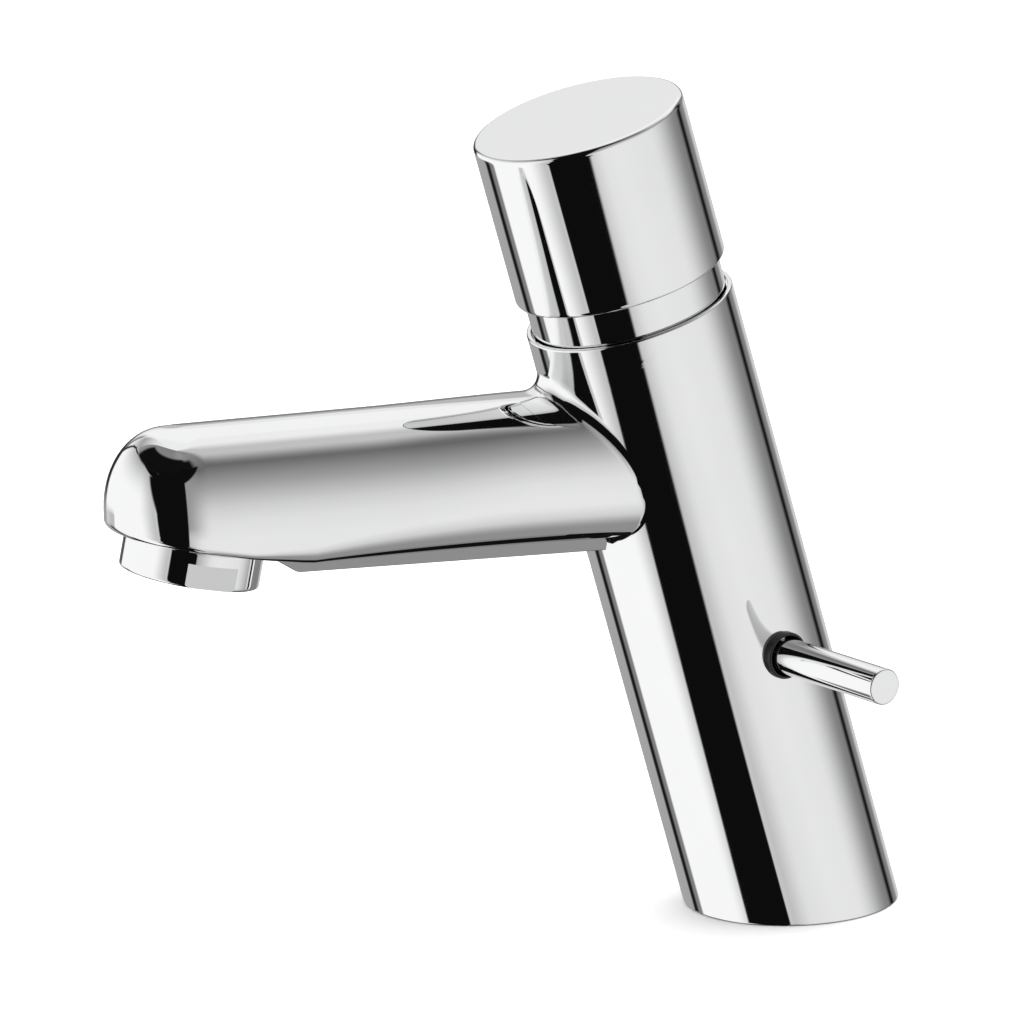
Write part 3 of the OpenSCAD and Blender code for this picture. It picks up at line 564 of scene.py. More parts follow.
def close_skin(name, mesh):
    """Joins the seams of a piece's nets, turns its faces outwards and makes its object."""
    bmesh.ops.remove_doubles(mesh, verts=mesh.verts, dist=SEAM)
    bmesh.ops.recalc_face_normals(mesh, faces=mesh.faces)
    open_edges = [edge for edge in mesh.edges if len(edge.link_faces) != 2]
    if open_edges:
        raise RuntimeError(f"the skin of {name} has {len(open_edges)} open edges")
    data = bpy.data.meshes.new(name)
    mesh.to_mesh(data)
    mesh.free()
    piece = bpy.data.objects.new(name, data)
    bpy.context.collection.objects.link(piece)
    return piece


def front_frame_loop(items):
    """The loop of the tube round the spout's root, point for point with the outline: angle and height."""
    half = CORNER_STEPS // 2
    corners = [
        (FRONT_SPAN, FRONT_HIGH), (-FRONT_SPAN, FRONT_HIGH),
        (-FRONT_SPAN, FRONT_LOW), (FRONT_SPAN, FRONT_LOW),
    ]
    loop = [None] * len(items)
    index = half
    for corner, straight in enumerate(STRAIGHT_STEPS):
        count = CORNER_STEPS + straight
        start = Vector(corners[corner])
        end = Vector(corners[(corner + 1) % 4])
        for k in range(count):
            loop[index % len(items)] = start.lerp(end, k / count)
            index += 1
    return loop


def spout_net(z, mesh):
    """The front of the tube, the root's fillet, the arm and the rounded tip."""
    items = outline()
    radius = z.body_d / 2
    fillets = [root_fillet(z, item) for item in items]
    local = [body_frame().inverted() @ points[0] for points in fillets]
    foot_place = [Vector((math.atan2(point.x, -point.y), point.z)) for point in local]
    rows = []
    for share in ROOT_SHARES:
        places = [a.lerp(b, share) for a, b in zip(foot_place, front_frame_loop(items))]
        rows.append([tube_point(place.x, radius, place.y) for place in places])
    rows += [list(row) for row in zip(*fillets)]
    arm_start = [-point.y for point in rows[-1]]
    level_start = max(arm_start) + LEVEL_LEAD
    for share in steps(0.0, 1.0, LEVEL_STEPS)[1:]:
        distances = [between(d, level_start, share) for d in arm_start]
        rows.append([arm_point(z, item, d) for item, d in zip(items, distances)])
    for d in steps(level_start, z.tip_d + z.nose_lead, ARM_STEPS)[1:]:
        rows.append([arm_point(z, item, d) for item in items])
    for turn in steps(0.0, math.pi / 2, TIP_STEPS)[1:]:
        rows.append([tip_point(z, item, turn) for item in items])
    net(mesh, rows)


def arm_point(z, item, d):
    """A point of the arm at distance d in front of the base centre."""
    flat = section(z, item, d, at_root=False)
    return Vector((flat.x, -d, flat.y))


def lever_hole_point(z, theta, radius):
    """Angle and height where a line beside the lever's axis leaves the tube."""
    droop = lever_droop(z)
    across = radius * math.cos(theta)
    rise = radius * math.sin(theta)
    out = math.sqrt((z.body_d / 2) ** 2 - across**2)
    run = (out - rise * math.sin(droop)) / math.cos(droop)
    height = z.lever_s - run * math.sin(droop) + rise * math.cos(droop)
    return Vector((math.pi / 2 + z.lever_back + math.atan2(across, out), height))


def lever_net(z, mesh, middle):
    """The tube round the lever's hole, and the hole's wall down to the mixing chamber."""
    hole = z.bush_d / 2 + LEVER_HOLE_GAP
    count = 4 * LEVER_STEPS
    thetas = [2 * math.pi * (i - LEVER_STEPS / 2) / count for i in range(count)]
    edge = [lever_hole_point(z, theta, hole) for theta in thetas]
    corners = [
        Vector((middle.x + side * LEVER_SPAN, middle.y + up * LEVER_HALF))
        for side, up in ((1, -1), (1, 1), (-1, 1), (-1, -1))
    ]
    frame_loop = []
    for start, end in zip(corners, corners[1:] + corners[:1]):
        frame_loop += [start.lerp(end, k / LEVER_STEPS) for k in range(LEVER_STEPS)]
    rows = []
    for share in LEVER_SHARES:
        places = [a.lerp(b, share) for a, b in zip(edge, frame_loop)]
        rows.append([tube_point(place.x, z.body_d / 2, place.y) for place in places])
    inward = lever_frame(z)
    across = inward.to_3x3() @ Vector((0, 1, 0))
    rise = inward.to_3x3() @ Vector((-1, 0, 0))
    for radius in (hole, 0.0):
        centre = inward @ Vector((0, 0, z.chamber_d / 2 - LEVER_HOLE_OVERRUN))
        rows.append([centre + radius * (math.cos(t) * across + math.sin(t) * rise) for t in thetas])
    net(mesh, rows)


def tube_net(z, mesh):
    """The rest of the tube: base with its gasket groove and hose pocket, sides, rim and recess."""
    radius = z.body_d / 2
    middle = lever_hole_point(z, 0.0, 0.0)
    full = 2 * math.pi
    lever_low = middle.x - LEVER_SPAN
    lever_high = middle.x + LEVER_SPAN
    side = steps(FRONT_SPAN, lever_low, SIDE_STEPS)
    lever = steps(lever_low, lever_high, LEVER_STEPS)
    back = steps(lever_high, full - FRONT_SPAN, BACK_STEPS)
    front_low = steps(-FRONT_SPAN, FRONT_SPAN, CORNER_STEPS + STRAIGHT_STEPS[2])
    front_high = steps(-FRONT_SPAN, FRONT_SPAN, CORNER_STEPS + STRAIGHT_STEPS[0])
    behind = side + lever[1:] + back[1:]
    low_turns = front_low + behind[1:-1]
    high_turns = front_high + behind[1:-1]
    lever_rows = steps(middle.y - LEVER_HALF, middle.y + LEVER_HALF, LEVER_STEPS)

    def ring(turns, r, height):
        return [tube_point(turn, r, height) for turn in turns]

    def base_ring(r, level):
        return [base_point(turn, r, level) for turn in low_turns]

    rows = [ring(low_turns, r, z.pocket_s) for r in (0.0, z.pocket_d / 4, z.pocket_d / 2)]
    for r, level in (
        (z.pocket_d / 2, 0.0), (z.groove_in / 2, 0.0), (z.groove_in / 2, z.gasket_h),
        (z.groove_out / 2, z.gasket_h), (z.groove_out / 2, 0.0),
    ):
        rows.append(base_ring(r, level))
    for r, level in arc((radius - z.base_edge, z.base_edge), z.base_edge, -90, 0, 5):
        rows.append(base_ring(r, level))
    feet = [(turn, base_height(turn, radius, z.base_edge)) for turn in low_turns]
    for share in FOOT_SHARES:
        rows.append([tube_point(turn, radius, between(low, lever_rows[0], share)) for turn, low in feet])
    net(mesh, rows)
    round_front = back + [turn + full for turn in front_low[1:] + side[1:]]
    net(mesh, [ring(round_front, radius, height) for height in lever_rows], closed=False)
    lever_net(z, mesh, middle)
    net(mesh, [ring(low_turns, radius, height) for height in steps(lever_rows[-1], FRONT_LOW, WAIST_STEPS)])
    front_rows = steps(FRONT_LOW, FRONT_HIGH, CORNER_STEPS + STRAIGHT_STEPS[1])
    net(mesh, [ring(behind, radius, height) for height in front_rows], closed=False)
    bead = z.rim_round
    under_bead = (FRONT_HIGH, z.rim_s - 3 * bead, z.rim_s - 1.5 * bead)
    rows = [ring(high_turns, radius, height) for height in under_bead]
    for r, height in arc((radius - bead, z.rim_s - bead), bead, 0, 90, 6):
        rows.append(ring(high_turns, r, height))
    edge = 0.15 * MM
    for r, height in arc((z.recess_d / 2 + edge, z.rim_s - edge), edge, 90, 180, 3):
        rows.append(ring(high_turns, r, height))
    for r in (z.recess_d / 2, z.recess_d / 4, 0.0):
        rows.append(ring(high_turns, r, z.recess_s))
    net(mesh, rows)


def casting_hollows(z):
    """Bars that cut the inside of the casting: bore, chamber, passages, waterway and outlet socket."""
    lean = body_frame()
    overrun = MM
    yield rod("bore", z.bore_d, z.ledge_s, z.recess_s + overrun, lean)
    yield rod("chamber", z.chamber_d, z.chamber_s, z.ledge_s + overrun, lean)
    for x in (-z.inlet_x, z.inlet_x):
        place = lean @ Matrix.Translation((x, -z.inlet_front, 0))
        yield rod("inlet", z.inlet_d, z.pocket_s - overrun, z.inlet_s, place)
        yield rod("passage", z.passage_d, z.inlet_s - overrun, z.chamber_s + overrun, place)
    yield rod("socket", z.socket_d, -2 * overrun, z.socket_h, outlet_frame(z))
    start = tube_point(0.0, 0.0, z.window_s)
    forward = Matrix.Rotation(math.pi / 2 - z.bottom_rise, 4, "X")
    yield rod("waterway", z.waterway_d, 0.0, z.tip_d + start.y, Matrix.Translation(start) @ forward)


def make_casting(z):
    """The body and spout in one casting, hollow inside."""
    mesh = bmesh.new()
    tube_net(z, mesh)
    spout_net(z, mesh)
    piece = close_skin("casting", mesh)
    for tool in casting_hollows(z):
        combine(piece, tool)
    upright = Matrix.Translation((0, z.stud_back, 0))
    combine(piece, rod("boss", z.stud_boss_d, z.stud_boss_z, z.boss_top, upright), "UNION")
    combine(piece, rod("stud", z.stud_d, 0.0, z.stud_top, upright))
    tidy(piece)
    return piece


def rib_depth(z, d):
    """Depth of the rib under the arm, and how much of it the ramp behind the outlet takes away."""
    front = z.tip_d - z.rib_stop
    full = between(z.rib_root, z.rib_front, clamp(d / front))
    return full, full * clamp((d - front) / z.rib_ramp)


def make_rib(z):
    """The keel under the arm: sections with rounded lower edges, lofted from the body to the ramp."""
    mesh = bmesh.new()
    half = z.rib_w / 2
    back = z.body_d / 2 + RIB_LEAD
    ramp = z.tip_d - z.rib_stop
    distances = steps(back, ramp - RAMP_LEAD - MM, RIB_STEPS)
    distances += steps(ramp - RAMP_LEAD, ramp + z.rib_ramp, RAMP_STEPS)
    flare = math.tan(z.rib_slope)
    rows = []
    for d in distances:
        under = max(arm_at(z, d), outlet_at(z, d))
        full, loss = rib_depth(z, d)
        centre = (half + flare * loss - z.rib_edge, under - full + loss + z.rib_edge)
        profile = [(half + flare * (full + RIB_SUNK), under + RIB_SUNK)]
        profile += arc(centre, z.rib_edge, -math.degrees(z.rib_slope), -90, 8)
        profile += [(-x, height) for x, height in reversed(profile)]
        rows.append([Vector((x, -d, height)) for x, height in profile])
    net(mesh, rows)
    for row in (rows[0], rows[-1]):
        mesh.faces.new([mesh.verts.new(point) for point in row])
    return close_skin("spout_rib", mesh)


# Turned pieces


FINE_TURNS = 160
LEVER_TURNS = 96
PIVOT_TURNS = 32
SPRING_TURNS = 8
WIRE_SIDES = 16
WIRE_STEPS = 40
FLAT_SLACK = 0.01 * MM
FLAT_SQUARE = 0.999
ROUND_SLACK = 0.003 * MM
ROUND_SQUARE = 0.995


def make_cap(z):
    """The push cap: a thin-walled cup with a flat top."""
    outer = z.cap_d / 2
    bore = z.cap_bore / 2
    under = z.cap_end - z.cap_top
    lip = z.cap_lip
    inner_lip = 0.2 * MM
    band = 0.4 * MM
    lead = 2 * MM
    profile = [(0, under), (bore - lead / 2, under), (bore, under), (bore, z.cap_s + lead / 2)]
    profile += arc((bore + inner_lip, z.cap_s + inner_lip), inner_lip, 180, 270, 4)
    profile += arc((outer - lip, z.cap_s + lip), lip, -90, 0, 8)
    profile += [(outer, z.cap_s + lip + band), (outer, z.cap_s + lead)]
    profile += [(outer, h) for h in steps(z.cap_s + 2 * lead, z.cap_end - 2 * lead, 6)]
    profile += [(outer, z.cap_end - z.cap_round - band)]
    profile += arc((outer - z.cap_round, z.cap_end - z.cap_round), z.cap_round, 0, 90, 12)
    profile += [(outer - z.cap_round - band, z.cap_end), (outer / 2, z.cap_end), (0, z.cap_end)]
    return lathe("push_cap", profile, body_frame(), FINE_TURNS)


def make_sleeve(z):
    """The guide sleeve: threaded foot, throat and polished neck with a groove for the guide ring."""
    bore = z.sleeve_bore / 2
    neck = z.neck_d / 2
    foot = z.foot_d / 2
    throat = z.throat_d / 2
    groove = z.guide_d / 2
    foot_top = z.sleeve_s + z.foot_h
    groove_top = z.guide_s + z.guide_h
    edge = 0.3 * MM
    chamfer = 0.1 * MM
    band = 0.5 * MM
    lead = 2 * MM
    profile = [(bore, z.sleeve_s), (foot, z.sleeve_s), (foot, foot_top), (throat, foot_top)]
    profile += [(throat, z.neck_s), (neck, z.neck_s + chamfer), (neck, z.neck_s + band)]
    profile += [(neck, h) for h in steps(z.neck_s + lead, z.guide_s, 6)]
    profile += [(groove, z.guide_s), (groove, groove_top), (neck, groove_top)]
    profile += arc((neck - edge, z.sleeve_end - edge), edge, 0, 90, 4)
    profile += [(bore, z.sleeve_end), (bore, z.sleeve_s)]
    return lathe("guide_sleeve", profile, body_frame(), FINE_TURNS)


def make_lever(z):
    """The temperature lever: polished rod, cone, tail and the ball that turns the mixing collar."""
    r = z.lever_d / 2
    ball = z.ball_d / 2
    tail = z.tail_d / 2
    edge = z.lever_chamfer
    band = 0.3 * MM
    shoulder_band = 0.4 * MM
    pivot_lead = 3 * MM
    end_lead = 2 * MM
    meet = math.degrees(math.acos(tail / ball))
    profile = arc((0, z.ball_r), ball, -90, meet, 16)
    profile += [(tail, z.tail_end - z.tail_cone), (r, z.tail_end), (r, z.tail_end + shoulder_band)]
    profile += [(r, h) for h in steps(z.pivot_r + pivot_lead, z.lever_end - edge - end_lead, 5)]
    profile += [(r, z.lever_end - edge - band)]
    profile += arc((r - edge, z.lever_end - edge), edge, 0, 90, 6)
    profile += [(r - edge - band, z.lever_end), (r / 2, z.lever_end), (0, z.lever_end)]
    piece = lathe("lever", profile, lever_frame(z), LEVER_TURNS)
    combine(piece, pivot_bar(z, z.lever_d))
    return piece


def pivot_bar(z, half):
    """A bar along the body axis through the lever's pivot."""
    upright = Matrix.Rotation(-lever_droop(z) - math.pi / 2, 4, "Y")
    place = lever_frame(z) @ Matrix.Translation((0, 0, z.pivot_r)) @ upright
    return rod("pivot", z.pivot_d, -half, half, place, PIVOT_TURNS)


def make_bush(z):
    """The lever's bush: a black ring whose bore is waisted so that the lever can rock."""
    outer = z.bush_d / 2
    waist = z.bush_waist / 2
    low = z.pivot_r - z.bush_h / 2
    high = z.pivot_r + z.bush_h / 2
    lip = z.bush_round
    band = 0.3 * MM
    pivot_wall = 0.2 * MM
    centre = (waist + z.waist_round, z.pivot_r)
    reach = math.degrees(math.asin(z.bush_h / 2 / z.waist_round))
    profile = [(outer, low), (outer, high - lip - band)]
    profile += arc((outer - lip, high - lip), lip, 0, 80, 8)
    profile += arc(centre, z.waist_round, 180 - 0.98 * reach, 180 + reach, 12)
    profile.append(profile[0])
    piece = lathe("lever_bush", profile, lever_frame(z), LEVER_TURNS)
    combine(piece, pivot_bar(z, outer - pivot_wall))
    return piece


def make_aerator_ring(z):
    """The aerator's housing: ring with two spanner flats and a spigot in the outlet."""
    r = z.aerator_d / 2
    top = -z.aerator_gap
    low = -z.aerator_h
    bevel = z.aerator_round
    edge = 0.15 * MM
    lip_edge = 0.2 * MM
    band = 0.3 * MM
    lead = 0.5 * MM
    bore = z.aerator_bore / 2
    lip = z.lip_d / 2
    spigot = z.spigot_d / 2
    profile = [(lip, low + z.lip_h), (lip, low + lip_edge), (lip + lip_edge, low), (r - bevel - band, low)]
    profile += arc((r - bevel, low + bevel), bevel, -90, 0, 6)
    profile += [(r, low + bevel + lead), (r, (low + top) / 2), (r, top - edge - band)]
    profile += arc((r - edge, top - edge), edge, 0, 90, 4)
    profile += [(spigot, top), (spigot, z.spigot_end), (bore, z.spigot_end)]
    profile += [(bore, low + z.lip_h), (lip, low + z.lip_h)]
    piece = lathe("aerator_housing", profile, outlet_frame(z), FINE_TURNS)
    for side in (-1, 1):
        deselect()
        bpy.ops.mesh.primitive_cube_add(size=1)
        tool = bpy.context.active_object
        centre = Matrix.Translation((side * (z.flats_w + r) / 2, 0, low))
        settle(tool, flats_frame(z) @ centre @ Matrix.Diagonal((r, 3 * r, 2 * z.flats_h, 1)))
        combine(piece, tool)
    return piece


def flats_frame(z):
    """The outlet's frame, with X square to the housing's spanner flats."""
    return outlet_frame(z) @ Matrix.Rotation(z.flats_turn, 4, "Z")


def mark_flats(piece, z):
    """Marks the spanner flats as satin, and their edges as sharp."""
    mesh = piece.data
    place = flats_frame(z).inverted()
    marks = mesh.attributes.new("satin", "FLOAT", "FACE")
    for polygon, mark in zip(mesh.polygons, marks.data):
        depth = abs((place @ polygon.center).x) - z.flats_w / 2
        square = abs((place.to_3x3() @ polygon.normal).x)
        mark.value = float(abs(depth) < FLAT_SLACK and square > FLAT_SQUARE)
        for index in polygon.loop_indices if mark.value else ():
            mesh.edges[mesh.loops[index].edge_index].use_edge_sharp = True


def round_normals(piece, z):
    """Gives the leaning tube's skin exactly round normals, so that its reflections run straight."""
    mesh = piece.data
    upright = body_frame().inverted()
    lean = body_frame().to_3x3()
    normals = [Vector()] * len(mesh.loops)
    for polygon in mesh.polygons:
        for index in polygon.loop_indices:
            point = upright @ mesh.vertices[mesh.loops[index].vertex_index].co
            point.z = 0.0
            out = lean @ point.normalized()
            if abs(point.length - z.body_d / 2) < ROUND_SLACK and polygon.normal.dot(out) > ROUND_SQUARE:
                normals[index] = out
    mesh.normals_split_custom_set(normals)


def make_spring(z):
    """The return spring: a round wire wound on a screw, its ends closed."""
    wire = z.wire_d / 2
    rise = z.spring_end - z.spring_s - z.wire_d
    deselect()
    bpy.ops.mesh.primitive_circle_add(vertices=WIRE_SIDES, radius=wire, rotation=(math.pi / 2, 0, 0))
    piece = bpy.context.active_object
    piece.name = piece.data.name = "return_spring"
    settle(piece, Matrix.Translation((z.spring_d / 2, 0, z.spring_s + wire)) @ piece.matrix_world)
    bpy.ops.object.modifier_add(type="SCREW")
    screw = piece.modifiers[-1]
    screw.axis = "Z"
    screw.angle = 2 * math.pi
    screw.screw_offset = rise / SPRING_TURNS
    screw.iterations = SPRING_TURNS
    screw.steps = screw.render_steps = WIRE_STEPS
    bpy.ops.object.modifier_apply(modifier=screw.name)
    bpy.ops.object.mode_set(mode="EDIT")
    bpy.ops.mesh.select_mode(type="EDGE")
    bpy.ops.mesh.select_all(action="DESELECT")
    bpy.ops.mesh.select_non_manifold()
    bpy.ops.mesh.fill_holes(sides=0)
    bpy.ops.mesh.select_all(action="SELECT")
    bpy.ops.mesh.normals_make_consistent(inside=False)
    bpy.ops.object.mode_set(mode="OBJECT")
    return settle(piece, body_frame())


# Finishes


def new_group(name, inputs, outputs):
    """A shader node group with named float inputs and outputs."""
    group = bpy.data.node_groups.new(name, "ShaderNodeTree")
    for way, labels in (("INPUT", inputs), ("OUTPUT", outputs)):
        for label in labels:
            group.interface.new_socket(label, in_out=way, socket_type="NodeSocketFloat")
    return group, group.nodes.new("NodeGroupInput"), group.nodes.new("NodeGroupOutput")


def plug(tree, socket, value):
    """Sets an input to a plain value, or links it to the output that feeds it."""
    if isinstance(value, bpy.types.NodeSocket):
        tree.links.new(value, socket)
    else:
        socket.default_value = value


def node(tree, kind, inputs=None, **settings):
    """A node with its settings and its inputs."""
    made = tree.nodes.new(kind)
    for key, value in settings.items():
        setattr(made, key, value)
    for key, value in (inputs or {}).items():
        plug(tree, made.inputs[key], value)
    return made


def maths(tree, operation, *values):
    """The result of a sum on plain values and outputs."""
    return node(tree, "ShaderNodeMath", dict(enumerate(values)), operation=operation).outputs[0]


def mix(tree, kind, mask, below, above):
    """Two colours or two numbers mixed by a mask."""
    made = node(tree, "ShaderNodeMix", data_type={"Color": "RGBA", "Float": "FLOAT"}[kind])
    ends = {socket.identifier: socket for socket in (*made.inputs, *made.outputs)}
    for key, value in (("Factor_Float", mask), (f"A_{kind}", below), (f"B_{kind}", above)):
        plug(tree, ends[key], value)
    return ends[f"Result_{kind}"]


def surface_group(name, output, pattern):
    """The node group of a pattern over a surface, made at its first use."""
    if name not in bpy.data.node_groups:
        tree, given, result = new_group(name, ["Scale"], [output])
        place = node(tree, "ShaderNodeTexCoord").outputs["Object"]
        plug(tree, result.inputs[output], pattern(tree, place, given.outputs["Scale"]))
    return bpy.data.node_groups[name]


def clouding(tree, place, scale):
    """Faint clouding of a surface: a soft mask of large and small patches."""
    patches = {"Vector": place, "Scale": scale, "Detail": 4.0, "Roughness": 0.55}
    noise = node(tree, "ShaderNodeTexNoise", patches).outputs["Fac"]
    spread = node(tree, "ShaderNodeMapRange", {"Value": noise, "From Min": 0.35, "From Max": 0.68})
    return spread.outputs["Result"]


def fine_grain(tree, place, scale):
    """Fine grain of a moulded surface, as a height."""
    grains = {"Vector": place, "Scale": scale, "Detail": 2.0, "Roughness": 0.6}
    return node(tree, "ShaderNodeTexNoise", grains).outputs["Fac"]


def turning_marks(tree, place, scale):
    """Fine tool marks round the leaning axis, as a height."""
    leaning = {"Vector": place, "Rotation": (-LEAN, 0.0, 0.0)}
    upright = node(tree, "ShaderNodeMapping", leaning).outputs["Vector"]
    lines = {"Vector": upright, "Scale": scale, "Distortion": 0.6, "Detail": 2.0, "Detail Scale": 0.4}
    marks = node(tree, "ShaderNodeTexWave", lines, wave_type="BANDS", bands_direction="Z")
    return marks.outputs["Fac"]


RELIEFS = {"Fine Grain": fine_grain, "Turning Marks": turning_marks}
RELIEF_STRENGTH = 0.35


def finish(
    name, light, dark, gloss, cloud_scale, metallic=0.0, relief=None, relief_scale=0.0, relief_depth=0.0
):
    """A finish: two tints and two glosses mixed by clouding, with an optional fine relief."""
    name = f"{name}_finish"
    if name in bpy.data.materials:
        return bpy.data.materials[name]
    material = bpy.data.materials.new(name)
    material.use_nodes = True
    material.diffuse_color = (*light, 1.0)
    tree = material.node_tree
    surface = tree.nodes["Principled BSDF"].inputs
    group = surface_group("Faint Clouding", "Mask", clouding)
    clouds = node(tree, "ShaderNodeGroup", node_tree=group)
    clouds.inputs["Scale"].default_value = cloud_scale
    mask = clouds.outputs["Mask"]
    rough = node(tree, "ShaderNodeMapRange", {"Value": mask, "To Min": gloss[0], "To Max": gloss[1]})
    plug(tree, surface["Metallic"], metallic)
    plug(tree, surface["Base Color"], mix(tree, "Color", mask, (*light, 1.0), (*dark, 1.0)))
    plug(tree, surface["Roughness"], rough.outputs["Result"])
    if relief:
        marks = node(tree, "ShaderNodeGroup", node_tree=surface_group(relief, "Height", RELIEFS[relief]))
        marks.inputs["Scale"].default_value = relief_scale
        heights = {"Height": marks.outputs["Height"], "Strength": RELIEF_STRENGTH, "Distance": relief_depth}
        plug(tree, surface["Normal"], node(tree, "ShaderNodeBump", heights).outputs["Normal"])
    return material


def shade(tint, share):
    """A tint made darker or lighter by a share."""
    return tuple(value * share for value in tint)


def chrome(f):
    """Mirror chrome with a trace of haze."""
    gloss = (f.chrome_polish, f.chrome_dull)
    return finish("chrome", f.chrome, f.chrome_haze, gloss, cloud_scale=35.0, metallic=1.0)


def flats_chrome(f):
    """Mirror chrome that is satin where the piece is marked so."""
    material = chrome(f).copy()
    material.name = "chrome_flats_finish"
    tree = material.node_tree
    surface = tree.nodes["Principled BSDF"].inputs
    marks = node(tree, "ShaderNodeAttribute", attribute_name="satin").outputs["Fac"]
    satin = {"Base Color": ("Color", (*f.satin, 1.0)), "Roughness": ("Float", f.satin_dull)}
    for name, (kind, value) in satin.items():
        polished = surface[name].links[0].from_socket
        plug(tree, surface[name], mix(tree, kind, marks, polished, value))
    return material


def steel(f):
    """Drawn stainless steel."""
    return finish(
        "steel", f.steel, shade(f.steel, 0.82), gloss=(0.22, 0.34), cloud_scale=90.0, metallic=1.0,
        relief="Turning Marks", relief_scale=1400.0, relief_depth=0.02 * MM,
    )


def brass(f):
    """Turned brass."""
    return finish(
        "brass", f.brass, shade(f.brass, 0.75), gloss=(0.2, 0.36), cloud_scale=80.0, metallic=1.0,
        relief="Turning Marks", relief_scale=1600.0, relief_depth=0.03 * MM,
    )


def rubber(f):
    """Moulded seal rubber."""
    return finish(
        "seal_rubber", f.rubber, shade(f.rubber, 1.8), gloss=(0.5, 0.68), cloud_scale=220.0,
        relief="Fine Grain", relief_scale=3200.0, relief_depth=0.02 * MM,
    )


def plastic(name, tint, gloss=(0.32, 0.46)):
    """Moulded plastic with a fine grain."""
    return finish(
        name, tint, shade(tint, 0.86), gloss, cloud_scale=140.0,
        relief="Fine Grain", relief_scale=2600.0, relief_depth=0.015 * MM,
    )


def finish_for_slot(slot, f):
    """The finish of one of the record's material slots."""
    makers = {"chrome": chrome, "steel": steel, "brass": brass, "seal_rubber": rubber}
    if slot in makers:
        return makers[slot](f)
    return plastic(slot, tuple(getattr(f, slot)))


# Stage


CARDS = (
    # name, turn, half width, side blur, height, half height and edge blur in degrees, lean, brightness
    ("overhead back", -115, 69, 4, 68, 28, 6, 0, 0.88),
    ("overhead side", 170, 22, 16, 70, 25, 6, 0, 0.55),
    ("side edge high", 74, 14, 20, 40, 50, 8, 0, 0.3),
    ("side edge low", 74, 6, 14, -50, 40, 6, 0, 0.5),
    ("side floor", 150, 35, 8, -80, 30, 14, 0, 0.28),
    ("back panel low", -112, 24, 4, 26, 13, 6, 0, 0.83),
    ("back panel", -112, 24, 4, 50, 22, 4, 0, 0.93),
    ("back low", -128, 12, 6, -10, 12, 6, 0, 0.62),
    ("left low", -88, 22, 5, -23, 12, 5, 0, 0.38),
    ("front panel left", -62, 18, 2, 15, 29, 3, 0, 0.98),
    ("front panel", -10, 42, 2, -9, 57, 2, 0, 0.98),
    ("front panel edge", 27, 10, 14, -9, 57, 3, 0, 0.52),
    ("front panel top", -20, 60, 5, 50, 14, 26, 0, 0.3),
    ("panel gap low", -65, 4.5, 2.5, -29, 11, 2, 0, 0.01),
    ("panel gap", -89, 10, 4, -2, 9, 4, 0, 0.02),
    ("panel gap arc", -74, 2, 1.5, 21, 14, 2, 0.77, 0.02),
    ("panel gap arc high", -58, 2.5, 1.5, 38, 4.5, 1, 1.5, 0.02),
    ("panel gap arc top", -41.5, 5, 2, 44.5, 2.7, 1, 4.2, 0.02),
    ("dark low left", -100, 56, 3, -72, 27, 3, 0, 0.005),
    ("dark floor front", -15, 60, 6, -86, 19, 4, 0, 0.008),
    ("dark ceiling", 25, 56, 6, 61, 14, 2, 0, 0.005),
    ("dark ceiling right", 84, 20, 10, 66, 7, 3, 0, 0.005),
    ("dark strip", 52.2, 20.8, 1, 15, 39, 0.5, 0, 0.004),
    ("dark strip upper left", 36.6, 12, 2, 24, 17, 0.5, -0.4, 0.004),
    ("dark strip corner left", 27.3, 15, 2, 44, 4.5, 0.5, -3.2, 0.004),
    ("dark strip corner right", 74, 20, 3, 52.5, 9, 0.5, 2.3, 0.004),
    ("dark strip middle", 49.7, 18.3, 1, -30, 6.5, 0.3, 0, 0.004),
    ("dark strip right turn", 62.2, 12, 1, -24.3, 4.2, 0.2, 1.8, 0.004),
    ("dark strip left turn", 38, 12, 1, -33.9, 2.6, 0.2, 3.1, 0.004),
    ("dark strip low", 43.8, 24.3, 1, -68, 32, 0.3, 0, 0.004),
    ("dark strip low right", 61.4, 20, 1, -45, 17, 0.5, -0.8, 0.004),
    ("dark strip back", -158.5, 5, 4.5, 8, 26, 4, 0, 0.006),
)
# turn, half width, side blur, height, half height, edge blur and lean of the side's sweep of light
SIDE_SWEEP = (110, 58, 24, 0, 120, 5, 0)
# height and brightness of the sweep's stops
SWEEP_LEVELS = (
    (-90, 0.45), (-45, 0.6), (-15, 0.83), (0, 0.77), (13, 0.65), (34, 0.36), (56, 0.14), (80, 0.25),
)
TENT_LEVEL = 0.22
SENSOR_WIDTH = 36.0
VIEW_DEPTH = 200.0
CARD_INPUTS = ("Turn", "Half Width", "Side Blur", "Height", "Half Height", "Edge Blur", "Lean")


